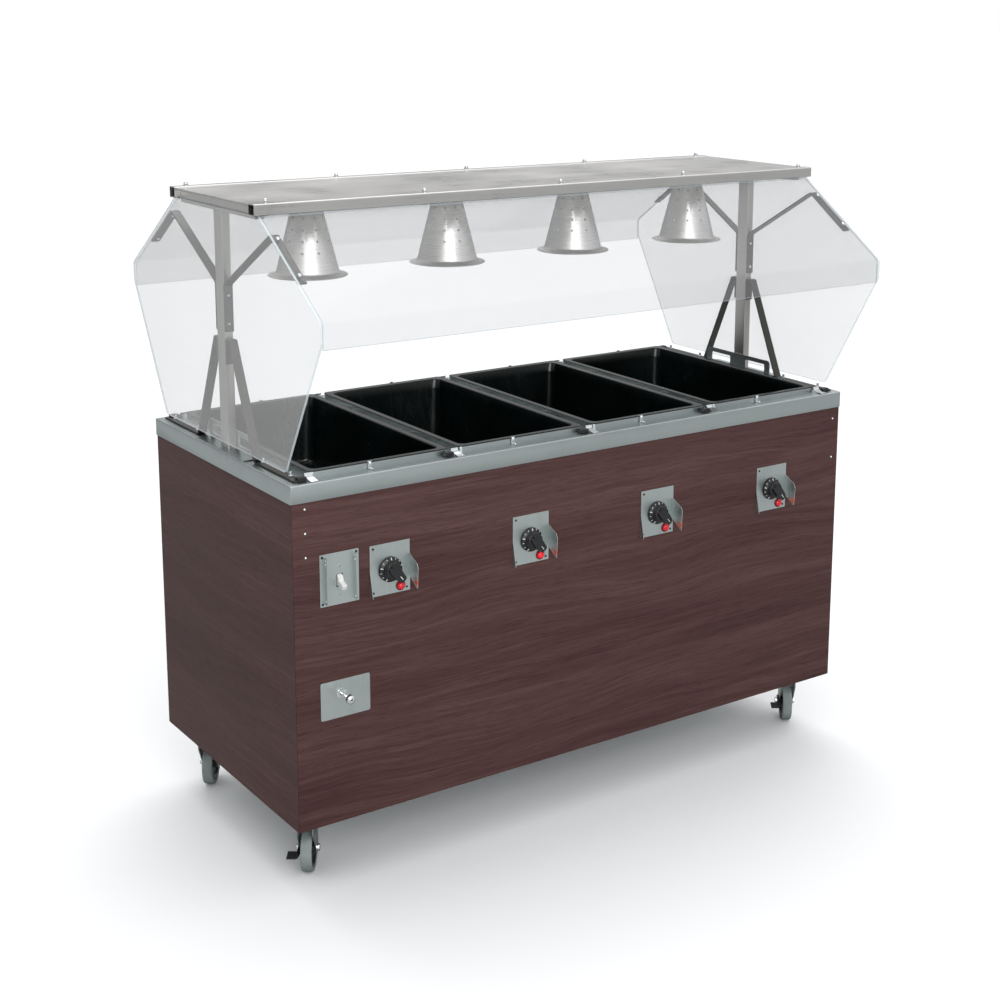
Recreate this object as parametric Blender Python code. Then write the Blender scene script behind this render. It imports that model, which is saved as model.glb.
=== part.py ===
"""Four-well steam table with a breath guard, an overshelf and four heat lamps.

Metres. +Z is up, +X runs along the length, the control side faces -Y and the floor is z = 0.
"""

import math

import bmesh
import bpy
from mathutils import Matrix, Vector

# ---- Driving dimensions ------------------------------------------------------------------
GAP = 0.0003  # clearance between two pieces that touch

LENGTH = 1.524  # countertop, end to end
DEPTH = 0.686  # countertop, front to rear
COUNTER_Z = 0.889  # working height
CABINET_Z = 0.152  # underside of the cabinet, which is the casters' mounting height
SHEET = 0.002  # countertop sheet
TRIM_HEIGHT = 0.027  # turned-down edge of the countertop
PANEL = 0.018  # cabinet panels

WELL_COUNT = 4
WELL_PITCH = 0.3575
WELL_RIM_HALF = (0.1675, 0.310)  # raised rim, half sizes in X and Y
WELL_RIM_HEIGHT = 0.026
WELL_STEP = 0.012  # raised collar of the countertop that carries each rim
COLLAR_SHEET = 0.0015
WELL_RIM_WIDTH = 0.016
WELL_DEPTH = 0.144  # from the countertop to the underside of the tub
WELL_OPENING_HALF = (0.1565, 0.299)
WELL_DRAIN_Y = -0.200
WELL_DRAIN_RADIUS = 0.010

CONTROL_Z = 0.686  # height of the knobs
CONTROL_PLATE = (0.096, 0.112)  # width, height
PLATE_SHEET = 0.0015
SHAFT_HOLE = 0.006  # radius of the holes for the thermostat shafts
SWITCH_X = -0.655
SWITCH_TILT = 24  # degrees below level, which is off
SWITCH_DRUM = 0.013
DRAIN_X = -0.655
DRAIN_Z = 0.438
DRAIN_HOLE = 0.008
INLET_X = 0.600  # cable gland in the rear panel
INLET_Z = 0.300
INLET_RADIUS = 0.012

SHELF_TOP_Z = 1.450
SHELF_HALF = (0.760, 0.211)
SHELF_SHEET = 0.0025
SHELF_SINK = 0.0015  # top of the sheet below the tops of the rails
RAIL = (0.028, 0.024)  # depth and height of each shelf rail
NUT_X = (-0.728, -0.357, 0.0, 0.357, 0.728)  # acorn nuts along each rail
NUT_RADIUS = 0.0055
NUT_HEIGHT = 0.010
RACEWAY_HALF_DEPTH = 0.032
RACEWAY_Z = 1.418  # underside of the lamp raceway

POST_X = 0.735
POST_HALF = (0.010, 0.019)
POST_WALL = 0.0015
FOOT_HALF = 0.122  # upright foot plate, half length
FOOT_WINDOW = (0.030, 0.103)
FOOT_FLANGE = 0.035  # window on each side of the post, distances from its middle
STRIP = 0.004  # thickness of the guard arms and braces
ACRYLIC = 0.005
GUARD_TOP = (0.207, 1.4255)  # guard outline as (distance from the centre plane, height)
GUARD_WIDE = (0.465, 1.250)
GUARD_WIDE_LOW = (0.465, 1.206)
GUARD_FOOT = (0.300, 0.918)
GUARD_LIP_Z = 1.195

SHADE_TOP_RADIUS = 0.032
SHADE_CONE_RADIUS = 0.069
SHADE_BRIM_RADIUS = 0.087
SHADE_BRIM_Z = 1.262
SHADE_WALL = 0.0015

CASTER_X = 0.700
CASTER_Y = 0.255
CASTER_HEADING = math.radians(54)  # rolling direction of the wheels, measured from +X
CASTER_TRAIL = 0.030
WHEEL_RADIUS = 0.0508

FRONT_FACE = -(DEPTH / 2 - SHEET - GAP)  # outer face of the front panel
WELL_CENTRES = [(i - (WELL_COUNT - 1) / 2) * WELL_PITCH for i in range(WELL_COUNT)]


# ---- Materials ---------------------------------------------------------------------------
def material(name, color, roughness, metallic=0.0, alpha=1.0):
    made = bpy.data.materials.new(name)
    made.use_nodes = True
    shader = made.node_tree.nodes["Principled BSDF"]
    shader.inputs["Base Color"].default_value = (*color, 1.0)
    shader.inputs["Roughness"].default_value = roughness
    shader.inputs["Metallic"].default_value = metallic
    shader.inputs["Alpha"].default_value = alpha
    return made


for leftover in list(bpy.data.objects):
    bpy.data.objects.remove(leftover)

STAINLESS = material("stainless_steel", (0.55, 0.57, 0.56), 0.35, 1.0)
WOODGRAIN = material("woodgrain_laminate", (0.10, 0.055, 0.050), 0.45)
BLACK_WELL = material("black_thermoset", (0.008, 0.012, 0.011), 0.30)
CLEAR = material("clear_acrylic", (0.85, 0.87, 0.88), 0.05, 0.0, 0.3)
STRIP_STEEL = material("strip_steel", (0.20, 0.19, 0.18), 0.38, 1.0)
ALUMINIUM = material("spun_aluminium", (0.70, 0.70, 0.68), 0.25, 1.0)
BLACK_PLASTIC = material("black_plastic", (0.010, 0.010, 0.011), 0.40)
WHITE_PLASTIC = material("white_plastic", (0.80, 0.80, 0.78), 0.35)
CHROME = material("chrome", (0.75, 0.76, 0.77), 0.08, 1.0)
ZINC = material("zinc_plate", (0.50, 0.51, 0.52), 0.35, 1.0)
TREAD = material("grey_tread", (0.13, 0.15, 0.14), 0.60)
BRASS = material("brass_pipe", (0.52, 0.36, 0.14), 0.40, 1.0)


# ---- Shape helpers -----------------------------------------------------------------------
def add_object(name, bm, slot):
    """Stores the mesh as one object with outward normals."""
    bmesh.ops.recalc_face_normals(bm, faces=bm.faces)
    mesh = bpy.data.meshes.new(name)
    bm.to_mesh(mesh)
    bm.free()
    mesh.materials.append(slot)
    made = bpy.data.objects.new(name, mesh)
    bpy.context.scene.collection.objects.link(made)
    return made


def loft(name, rings, slot):
    """Skins rings of equal point count, and closes the first and last ring."""
    bm = bmesh.new()
    rows = [[bm.verts.new(point) for point in ring] for ring in rings]
    count = len(rings[0])
    for lower, upper in zip(rows, rows[1:]):
        for i in range(count):
            j = (i + 1) % count
            bm.faces.new((lower[i], lower[j], upper[j], upper[i]))
    bm.faces.new(rows[0])
    bm.faces.new(rows[-1])
    return add_object(name, bm, slot)


def prism(name, outline, axis, start, end, slot):
    """Extrudes a 2-D outline along X (outline in Y, Z), Y (outline in X, Z) or Z (outline in X, Y)."""
    place = {
        "X": lambda a, b, along: (along, a, b),
        "Y": lambda a, b, along: (a, along, b),
        "Z": lambda a, b, along: (a, b, along),
    }[axis]
    rings = [[place(a, b, along) for a, b in outline] for along in (start, end)]
    return loft(name, rings, slot)


def box(name, lo, hi, slot):
    outline = [(lo[0], lo[1]), (hi[0], lo[1]), (hi[0], hi[1]), (lo[0], hi[1])]
    return prism(name, outline, "Z", lo[2], hi[2], slot)


def lathe(name, profile, origin, axis, segments, slot):
    """Turns (radius, distance along axis) points. A profile that stays off the axis closes into a ring."""
    direction = Vector(axis).normalized()
    turn = direction.to_track_quat("Z", "Y").to_matrix()
    bm = bmesh.new()
    rows = []
    for radius, along in profile:
        angles = [0.0] if radius == 0 else [2 * math.pi * i / segments for i in range(segments)]
        points = [Vector((radius * math.cos(a), radius * math.sin(a), along)) for a in angles]
        rows.append([bm.verts.new(Vector(origin) + turn @ point) for point in points])
    pairs = list(zip(rows, rows[1:]))
    if len(rows[0]) > 1 and len(rows[-1]) > 1:
        pairs.append((rows[-1], rows[0]))
    for lower, upper in pairs:
        for i in range(segments):
            j = (i + 1) % segments
            below = [lower[i % len(lower)], lower[j % len(lower)]]
            above = [upper[j % len(upper)], upper[i % len(upper)]]
            bm.faces.new(list(dict.fromkeys(below + above)))
    made = add_object(name, bm, slot)
    smooth(made)
    return made


def rod(name, start, end, radius, segments, slot):
    along = Vector(end) - Vector(start)
    profile = [(0.0, 0.0), (radius, 0.0), (radius, along.length), (0.0, along.length)]
    return lathe(name, profile, start, along, segments, slot)


def smooth(obj, angle=35):
    obj.data.shade_smooth()
    obj.data.set_sharp_from_angle(angle=math.radians(angle))


def combine(target, tool, operation):
    """Applies one exact Boolean to target and removes the tool."""
    change = target.modifiers.new(operation, "BOOLEAN")
    change.operation = operation
    change.solver = "EXACT"
    change.object = tool
    with bpy.context.temp_override(object=target, active_object=target):
        bpy.ops.object.modifier_apply(modifier=change.name)
    bpy.data.objects.remove(tool)


def cut(target, *tools):
    for tool in tools:
        combine(target, tool, "DIFFERENCE")


def unite(target, *others):
    for other in others:
        combine(target, other, "UNION")


def front_drill(x, z, radius, slot):
    """Cutter for a round hole through the front panel or a plate on it."""
    return rod("drill", (x, -0.36, z), (x, -0.30, z), radius, 12, slot)


def set_origin(obj, point):
    """Puts the object's origin on its joint axis and leaves the shape where it is."""
    obj.data.transform(Matrix.Translation(-Vector(point)))
    obj.location = point


def rounded_rectangle(half_x, half_y, radius, steps=4, centre=(0.0, 0.0)):
    outline = []
    corners = ((1, 1), (-1, 1), (-1, -1), (1, -1))
    for quarter, (sign_x, sign_y) in enumerate(corners):
        for step in range(steps + 1):
            angle = math.pi / 2 * (quarter + step / steps)
            x = sign_x * (half_x - radius) + radius * math.cos(angle)
            y = sign_y * (half_y - radius) + radius * math.sin(angle)
            outline.append((centre[0] + x, centre[1] + y))
    return outline


def rounded_polygon(points, radii, steps=3):
    """Rounds each corner of a convex polygon with an arc of the radius given for it."""
    outline = []
    count = len(points)
    for i, corner in enumerate(points):
        corner = Vector(corner)
        before = (Vector(points[i - 1]) - corner).normalized()
        after = (Vector(points[(i + 1) % count]) - corner).normalized()
        half_angle = before.angle(after) / 2
        reach = radii[i] / math.tan(half_angle)
        centre = corner + (before + after).normalized() * (radii[i] / math.sin(half_angle))
        start = corner + before * reach - centre
        sweep = (corner + after * reach - centre).angle(start)
        turn = 1 if start.x * (after.y) - start.y * (after.x) > 0 else -1
        for step in range(steps + 1):
            angle = turn * sweep * step / steps
            outline.append(
                (
                    centre.x + start.x * math.cos(angle) - start.y * math.sin(angle),
                    centre.y + start.x * math.sin(angle) + start.y * math.cos(angle),
                )
            )
    return outline


def offset_path(path, distance):
    """Moves an open 2-D path sideways, with mitred corners."""
    moved = []
    for i, point in enumerate(path):
        normals = []
        for a, b in ((i - 1, i), (i, i + 1)):
            if a >= 0 and b < len(path):
                along = (Vector(path[b]) - Vector(path[a])).normalized()
                normals.append(Vector((-along.y, along.x)))
        mitre = sum(normals, Vector((0.0, 0.0))).normalized()
        moved.append(tuple(Vector(point) + mitre * (distance / mitre.dot(normals[0]))))
    return moved


def bent_strip(name, path, inner, outer, x_range, side, slot):
    """A strip bent along a (Y, Z) path, reaching from inner to outer beside it, mirrored to side."""
    outline = offset_path(path, outer) + offset_path(path, inner)[::-1]
    outline = [(side * y, z) for y, z in outline]
    return prism(name, outline, "X", x_range[0], x_range[1], slot)


# ---- Countertop and cabinet --------------------------------------------------------------
def build_countertop():
    half_x, half_y = LENGTH / 2, DEPTH / 2
    top = box(
        "countertop",
        (-half_x, -half_y, COUNTER_Z - TRIM_HEIGHT),
        (half_x, half_y, COUNTER_Z),
        STAINLESS,
    )
    hollow = box(
        "hollow",
        (-half_x + SHEET, -half_y + SHEET, COUNTER_Z - TRIM_HEIGHT - 0.01),
        (half_x - SHEET, half_y - SHEET, COUNTER_Z - SHEET),
        STAINLESS,
    )
    cut(top, hollow)
    for x in WELL_CENTRES:
        half_x, half_y = WELL_RIM_HALF[0] - 0.0015, WELL_RIM_HALF[1] - 0.0015
        outline = rounded_rectangle(half_x, half_y, 0.0115, centre=(x, 0.0))
        collar = prism("collar", outline, "Z", COUNTER_Z - SHEET / 2, COUNTER_Z + WELL_STEP, STAINLESS)
        outline = rounded_rectangle(half_x - COLLAR_SHEET, half_y - COLLAR_SHEET, 0.010, centre=(x, 0.0))
        ceiling = COUNTER_Z + WELL_STEP - COLLAR_SHEET
        cut(collar, prism("inside", outline, "Z", COUNTER_Z - 0.01, ceiling, STAINLESS))
        unite(top, collar)
        outline = rounded_rectangle(*WELL_OPENING_HALF, 0.018, centre=(x, 0.0))
        cut(top, prism("opening", outline, "Z", COUNTER_Z - 0.01, COUNTER_Z + 0.02, STAINLESS))


def build_panels():
    """Four mitred panels that stand inside the countertop's trim."""
    half_x = LENGTH / 2 - SHEET - GAP
    half_y = DEPTH / 2 - SHEET - GAP
    top = COUNTER_Z - SHEET - GAP
    panels = {}
    for name, side in (("front_panel", -1), ("rear_panel", 1)):
        outline = [
            (-half_x + GAP, side * half_y),
            (half_x - GAP, side * half_y),
            (half_x - PANEL - GAP, side * (half_y - PANEL)),
            (-half_x + PANEL + GAP, side * (half_y - PANEL)),
        ]
        panels[name] = prism(name, outline, "Z", CABINET_Z, top, WOODGRAIN)
    for name, side in (("left_end_panel", -1), ("right_end_panel", 1)):
        outline = [
            (side * half_x, -half_y + GAP),
            (side * half_x, half_y - GAP),
            (side * (half_x - PANEL), half_y - PANEL - GAP),
            (side * (half_x - PANEL), -half_y + PANEL + GAP),
        ]
        prism(name, outline, "Z", CABINET_Z, top, WOODGRAIN)

    front = panels["front_panel"]
    for x in WELL_CENTRES:
        cut(front, front_drill(x, CONTROL_Z, SHAFT_HOLE, WOODGRAIN))
    lo = (SWITCH_X - 0.012, -0.36, CONTROL_Z - 0.020)
    hi = (SWITCH_X + 0.012, -0.30, CONTROL_Z + 0.020)
    cut(front, box("hole", lo, hi, WOODGRAIN))
    cut(front, front_drill(DRAIN_X, DRAIN_Z, DRAIN_HOLE, WOODGRAIN))
    start, end = (INLET_X, 0.30, INLET_Z), (INLET_X, 0.36, INLET_Z)
    cut(panels["rear_panel"], rod("hole", start, end, INLET_RADIUS + 0.0005, 16, WOODGRAIN))


def build_power_inlet():
    """Cable gland through the rear panel."""
    rear = DEPTH / 2 - SHEET - GAP
    profile = [
        (0.006, -0.030),
        (INLET_RADIUS, -0.030),
        (INLET_RADIUS, GAP),
        (0.026, GAP),
        (0.026, 0.005),
        (0.017, 0.006),
        (0.016, 0.022),
        (0.011, 0.028),
        (0.006, 0.028),
    ]
    lathe("power_inlet", profile, (INLET_X, rear, INLET_Z), (0, 1, 0), 16, BLACK_PLASTIC)


def build_bottom_pan():
    half_x = LENGTH / 2 - SHEET - PANEL - 3 * GAP
    half_y = DEPTH / 2 - SHEET - PANEL - 3 * GAP
    floor = CABINET_Z + GAP
    pan = box("bottom_pan", (-half_x, -half_y, floor), (half_x, half_y, floor + 0.028), STAINLESS)
    cut(
        pan,
        box(
            "hollow",
            (-half_x + SHEET, -half_y + SHEET, floor + 0.003),
            (half_x - SHEET, half_y - SHEET, floor + 0.05),
            STAINLESS,
        ),
    )
    for x in (-CASTER_X, CASTER_X):
        for y in (-CASTER_Y, CASTER_Y):
            lo = (x - 0.040, y - 0.047, CABINET_Z - 0.003)
            hi = (x + 0.040, y + 0.047, floor + 0.001)
            unite(pan, box("caster_pad", lo, hi, STAINLESS))


def build_wells():
    """Tubs with a raised rim, and a heating element under each."""
    bottom = COUNTER_Z - WELL_DEPTH
    rim_x, rim_y = WELL_RIM_HALF
    top = COUNTER_Z + WELL_RIM_HEIGHT
    seat = COUNTER_Z + WELL_STEP + GAP
    inner_x, inner_y = rim_x - WELL_RIM_WIDTH, rim_y - WELL_RIM_WIDTH
    sections = [
        (rim_x - 0.0215, rim_y - 0.022, 0.030, bottom),
        (rim_x - 0.0120, rim_y - 0.012, 0.019, seat),
        (rim_x, rim_y, 0.012, seat),
        (rim_x - 0.001, rim_y - 0.001, 0.011, top - 0.002),
        (rim_x - 0.003, rim_y - 0.003, 0.010, top),
        (inner_x + 0.002, inner_y + 0.002, 0.016, top),
        (inner_x, inner_y, 0.016, top - 0.002),
        (inner_x - 0.001, inner_y - 0.001, 0.017, COUNTER_Z - 0.010),
        (inner_x - 0.008, inner_y - 0.009, 0.028, bottom + 0.010),
        (inner_x - 0.014, inner_y - 0.015, 0.024, bottom + 0.005),
    ]
    for number, x in enumerate(WELL_CENTRES, 1):
        rings = [
            [(px, py, z) for px, py in rounded_rectangle(half_x, half_y, radius, centre=(x, 0.0))]
            for half_x, half_y, radius, z in sections
        ]
        well = loft(f"well_{number}", rings, BLACK_WELL)
        drain = (x, WELL_DRAIN_Y, bottom - 0.01)
        drain_top = (x, WELL_DRAIN_Y, bottom + 0.02)
        cut(well, rod("drain", drain, drain_top, WELL_DRAIN_RADIUS, 12, BLACK_WELL))
        smooth(well)
        outline = rounded_rectangle(0.120, 0.205, 0.020, 3, (x, 0.055))
        prism(f"heater_{number}", outline, "Z", bottom - 0.0065, bottom - 0.0005, ZINC)


def build_drain_manifold():
    """One pipe that joins the four wells to the valve behind the drain plate."""
    bottom = COUNTER_Z - WELL_DEPTH
    pipe_z = 0.700
    y = WELL_DRAIN_Y
    ends = (DRAIN_X - 0.02, y, pipe_z), (WELL_CENTRES[-1] + 0.025, y, pipe_z)
    manifold = rod("drain_manifold", *ends, 0.012, 12, BRASS)
    for x in WELL_CENTRES:
        unite(manifold, rod("stub", (x, y, pipe_z), (x, y, bottom - 0.0005), 0.0105, 12, BRASS))
    unite(
        manifold,
        rod("down", (DRAIN_X, y, pipe_z), (DRAIN_X, y, DRAIN_Z), 0.0105, 12, BRASS),
        rod("valve", (DRAIN_X, y + 0.02, DRAIN_Z), (DRAIN_X, -0.298, DRAIN_Z), 0.014, 12, BRASS),
        rod("outlet", (DRAIN_X, -0.250, DRAIN_Z), (DRAIN_X, -0.250, 0.200), 0.0105, 12, BRASS),
    )
    smooth(manifold)


# ---- Controls ----------------------------------------------------------------------------
def build_control_box():
    """Channel behind the controls, with the four thermostat bodies standing in it."""
    back, front = -0.262, FRONT_FACE + PANEL + GAP
    channel = box("control_box", (-0.720, front, 0.600), (0.620, back, 0.735), STAINLESS)
    lo, hi = (-0.718, front - 0.01, 0.602), (0.618, back - SHEET, 0.733)
    cut(channel, box("hollow", lo, hi, STAINLESS))
    for x in WELL_CENTRES:
        lo = (x - 0.022, -0.310, CONTROL_Z - 0.022)
        hi = (x + 0.022, back - SHEET / 2, CONTROL_Z + 0.022)
        unite(channel, box("thermostat", lo, hi, STAINLESS))


def build_switch():
    face = FRONT_FACE - GAP
    width, height = 0.090, CONTROL_PLATE[1]
    lo_z, hi_z = CONTROL_Z - height / 2 + 0.004, CONTROL_Z + height / 2 + 0.004
    lo = (SWITCH_X - width / 2, face - PLATE_SHEET, lo_z)
    plate = box("switch_plate", lo, (SWITCH_X + width / 2, face, hi_z), STAINLESS)
    for side in (-1, 1):
        x = SWITCH_X + side * 0.034
        lo = (x - 0.001, face - 0.013, lo_z + 0.006)
        hi = (x + 0.001, face - PLATE_SHEET / 2, hi_z - 0.006)
        unite(plate, box("flange", lo, hi, STAINLESS))
    lo = (SWITCH_X - 0.0075, -0.36, CONTROL_Z - 0.014)
    hi = (SWITCH_X + 0.0075, -0.33, CONTROL_Z + 0.014)
    cut(plate, box("slot", lo, hi, STAINLESS))

    pivot = Vector((SWITCH_X, FRONT_FACE + 0.004, CONTROL_Z))
    tilt = math.radians(-SWITCH_TILT)
    upper = [(0.005, 0.0045), (-0.028, 0.0065), (-0.030, 0.004)]
    outline = upper + [(y, -z) for y, z in reversed(upper)]
    turned = [
        (
            pivot.y + y * math.cos(tilt) + z * math.sin(tilt),
            pivot.z - y * math.sin(tilt) + z * math.cos(tilt),
        )
        for y, z in outline
    ]
    toggle = prism("power_switch", turned, "X", SWITCH_X - 0.006, SWITCH_X + 0.006, WHITE_PLASTIC)
    start, end = (pivot.x - 0.0058, *pivot.yz), (pivot.x + 0.0058, *pivot.yz)
    unite(toggle, rod("drum", start, end, SWITCH_DRUM, 24, WHITE_PLASTIC))
    set_origin(toggle, pivot)


def build_control(number, x):
    """Thermostat plate with its guard wing, and the knob in front of it."""
    face = FRONT_FACE - GAP
    width, height = CONTROL_PLATE
    lo_z, hi_z = CONTROL_Z - height / 2 + 0.002, CONTROL_Z + height / 2 + 0.002
    lo = (x - width / 2, face - PLATE_SHEET, lo_z)
    plate = box(f"control_plate_{number}", lo, (x + width / 2, face, hi_z), STAINLESS)
    wing = [
        (face - PLATE_SHEET / 2, CONTROL_Z + 0.028),
        (face - 0.032, CONTROL_Z + 0.012),
        (face - 0.037, CONTROL_Z + 0.002),
        (face - 0.034, CONTROL_Z - 0.043),
        (face - 0.030, CONTROL_Z - 0.042),
        (face - PLATE_SHEET / 2, CONTROL_Z - 0.023),
    ]
    wing_start, wing_end = x + width / 2 - PLATE_SHEET, x + width / 2 - 0.0001
    unite(plate, prism("wing", wing, "X", wing_start, wing_end, STAINLESS))
    back = face - PLATE_SHEET / 2
    lip = [(back, CONTROL_Z + 0.006), (face - 0.013, lo_z + 0.0001), (back, lo_z + 0.0001)]
    lip_start, lip_end = x - width / 2 + 0.0001, x - width / 2 + PLATE_SHEET
    unite(plate, prism("lip", lip, "X", lip_start, lip_end, STAINLESS))
    cut(plate, front_drill(x, CONTROL_Z, SHAFT_HOLE, STAINLESS))

    profile = [
        (0.0, -0.031),
        (0.003, -0.031),
        (0.003, 0.0025),
        (0.027, 0.0025),
        (0.027, 0.0045),
        (0.020, 0.0080),
        (0.0185, 0.0200),
        (0.0165, 0.0220),
        (0.0, 0.0220),
    ]
    seat = face - PLATE_SHEET
    centre = (x, seat, CONTROL_Z)
    knob = lathe(f"thermostat_knob_{number}", profile, centre, (0, -1, 0), 24, BLACK_PLASTIC)
    turn = Matrix.Rotation(math.radians(-40), 3, "Y")
    bar = []
    for y in (seat - 0.010, seat - 0.030):
        corners = ((-0.0075, -0.0265), (0.0075, -0.0265), (0.0095, 0.0150), (-0.0095, 0.0150))
        middle = Vector((x, y, CONTROL_Z))
        bar.append([turn @ Vector((a, 0.0, b)) + middle for a, b in corners])
    unite(knob, loft("grip", bar, BLACK_PLASTIC))
    smooth(knob)
    set_origin(knob, centre)


def build_drain_controls():
    face = FRONT_FACE - GAP
    outline = rounded_rectangle(0.058, 0.0415, 0.004, 3, (DRAIN_X + 0.009, DRAIN_Z - 0.010))
    plate = prism("drain_plate", outline, "Y", face - PLATE_SHEET, face, STAINLESS)
    cut(plate, front_drill(DRAIN_X, DRAIN_Z, DRAIN_HOLE, STAINLESS))
    profile = [
        (0.0, -0.041),
        (0.004, -0.041),
        (0.004, 0.028),
        (0.009, 0.031),
        (0.0105, 0.036),
        (0.0095, 0.042),
        (0.006, 0.045),
        (0.0, 0.0455),
    ]
    knob = lathe("drain_knob", profile, (DRAIN_X, face, DRAIN_Z), (0, -1, 0), 16, CHROME)
    set_origin(knob, (DRAIN_X, face, DRAIN_Z))


# ---- Overshelf, lamps and guard ----------------------------------------------------------
def build_overshelf():
    """Sheet between two open-ended rails, with acorn nuts along them."""
    half_x, half_y = SHELF_HALF
    depth, height = RAIL
    low = SHELF_TOP_Z - height
    half_profile = [
        (half_y - depth, SHELF_TOP_Z - SHELF_SINK - SHELF_SHEET),
        (half_y - depth, low),
        (half_y, low),
        (half_y, SHELF_TOP_Z),
        (half_y - depth, SHELF_TOP_Z),
        (half_y - depth, SHELF_TOP_Z - SHELF_SINK),
    ]
    outline = half_profile + [(-y, z) for y, z in reversed(half_profile)]
    shelf = prism("overshelf", outline, "X", -half_x, half_x, STAINLESS)
    for side in (-1, 1):
        ys = sorted((side * (half_y - SHEET), side * (half_y - depth + SHEET)))
        lo = (-half_x - 0.01, ys[0], low + SHEET)
        hi = (half_x + 0.01, ys[1], SHELF_TOP_Z - SHEET)
        cut(shelf, box("rail_hollow", lo, hi, STAINLESS))
        for x in NUT_X:
            foot = (x, side * (half_y - depth / 2), SHELF_TOP_Z - 0.0005)
            tip = NUT_HEIGHT + 0.0005
            profile = [
                (0.0, 0.0),
                (NUT_RADIUS, 0.0),
                (NUT_RADIUS, 0.6 * tip),
                (0.8 * NUT_RADIUS, 0.85 * tip),
                (0.0, tip),
            ]
            unite(shelf, lathe("nut", profile, foot, (0, 0, 1), 12, STAINLESS))


def build_lamp_raceway():
    """Channel under the shelf, between the heads of the posts, that carries the lamps."""
    top = SHELF_TOP_Z - SHELF_SINK - SHELF_SHEET - GAP
    reach = POST_X - POST_HALF[0] - GAP
    lo = (-reach, -RACEWAY_HALF_DEPTH, RACEWAY_Z)
    raceway = box("lamp_raceway", lo, (reach, RACEWAY_HALF_DEPTH, top), STAINLESS)
    lo = (-reach + SHEET, -RACEWAY_HALF_DEPTH + SHEET, RACEWAY_Z + SHEET)
    hi = (reach - SHEET, RACEWAY_HALF_DEPTH - SHEET, top + 0.01)
    cut(raceway, box("raceway_hollow", lo, hi, STAINLESS))


def build_lamp_shades():
    top = RACEWAY_Z - GAP
    cone = SHADE_CONE_RADIUS
    brim = SHADE_BRIM_RADIUS
    low = SHADE_BRIM_Z
    profile = [
        (0.0, top),
        (SHADE_TOP_RADIUS, top),
        (cone, low + 0.0085),
        (cone + 0.0050, low + 0.0040),
        (brim - 0.003, low + 0.0015),
        (brim, low + 0.0018),
        (brim, low),
        (cone + 0.0045, low + 0.0022),
        (cone - 0.0013, low + 0.0072),
        (SHADE_TOP_RADIUS - SHADE_WALL, top - SHADE_WALL),
        (0.0, top - SHADE_WALL),
    ]
    for number, x in enumerate(WELL_CENTRES, 1):
        lathe(f"lamp_shade_{number}", profile, (x, 0.0, 0.0), (0, 0, 1), 32, ALUMINIUM)


def build_posts():
    """Rectangular tube posts with a foot plate on the inner face and a cross channel under the shelf."""
    half_x, half_y = POST_HALF
    foot = COUNTER_Z + GAP
    head_top = SHELF_TOP_Z - SHELF_SINK - SHELF_SHEET - GAP
    head_half = SHELF_HALF[1] - RAIL[0] - GAP
    for name, side in (("post_left", -1), ("post_right", 1)):
        centre = side * POST_X
        lo = (centre - half_x, -half_y, foot)
        post = box(name, lo, (centre + half_x, half_y, RACEWAY_Z + POST_WALL / 2), STAINLESS)
        inner = centre - side * half_x
        upright = sorted((inner + side * 0.0005, inner - side * 0.0025))
        flange = sorted((inner - side * 0.0005, inner + side * FOOT_FLANGE))
        half_plate = [(FOOT_HALF, foot), (FOOT_HALF, foot + 0.034), (FOOT_HALF - 0.008, foot + 0.042)]
        plate = half_plate + [(-y, z) for y, z in reversed(half_plate)]
        unite(post, prism("upright", plate, "X", upright[0], upright[1], STAINLESS))
        lo = (flange[0], -FOOT_HALF + 0.001, foot + 0.0001)
        unite(post, box("flange", lo, (flange[1], FOOT_HALF - 0.001, foot + 0.0025), STAINLESS))
        for y_side in (-1, 1):
            ys = sorted(y_side * y for y in FOOT_WINDOW)
            lo, hi = (inner - 0.02, ys[0], foot + 0.010), (inner + 0.02, ys[1], foot + 0.031)
            cut(post, box("window", lo, hi, STAINLESS))

        lo, hi = (centre - half_x, -head_half, RACEWAY_Z), (centre + half_x, head_half, head_top)
        head = box("head", lo, hi, STAINLESS)
        lo = (centre - half_x + POST_WALL, -head_half - 0.01, RACEWAY_Z + POST_WALL)
        hi = (centre + half_x - POST_WALL, head_half + 0.01, head_top + 0.01)
        cut(head, box("channel", lo, hi, STAINLESS))
        unite(post, head)
        lo = (centre - half_x + POST_WALL, -half_y + POST_WALL, foot - 0.01)
        hi = (centre + half_x - POST_WALL, half_y - POST_WALL, head_top + 0.01)
        cut(post, box("bore", lo, hi, STAINLESS))


def build_guard_strips():
    """Upper arms that carry the sloped sheets, and lower braces that hold the posts upright."""
    leg_y = POST_HALF[1] + GAP + STRIP / 2
    slope = (Vector(GUARD_WIDE) - Vector(GUARD_TOP)).normalized()
    inward = Vector((slope.y, -slope.x))
    flange_start = Vector(GUARD_TOP) + slope * 0.051 + inward * (ACRYLIC + GAP + STRIP / 2)
    flange_end = flange_start + slope * 0.145
    arm = [(leg_y, 1.160), (leg_y, 1.262), tuple(flange_start), tuple(flange_end)]
    foot_z = COUNTER_Z + GAP + STRIP / 2
    brace = [
        (leg_y, 1.090),
        (leg_y, 1.143),
        (leg_y + 0.015, 1.143),
        (0.142, foot_z),
        (0.325, foot_z),
    ]
    half = STRIP / 2
    for end, x_side in (("left", -1), ("right", 1)):
        x_range = (x_side * (POST_X - POST_HALF[0]), x_side * (POST_X + POST_HALF[0]))
        for face, y_side in (("front", -1), ("rear", 1)):
            for kind, path in (("arm", arm), ("brace", brace)):
                name = f"guard_{kind}_{end}_{face}"
                bent_strip(name, path, -half, half, x_range, y_side, STRIP_STEEL)


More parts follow.
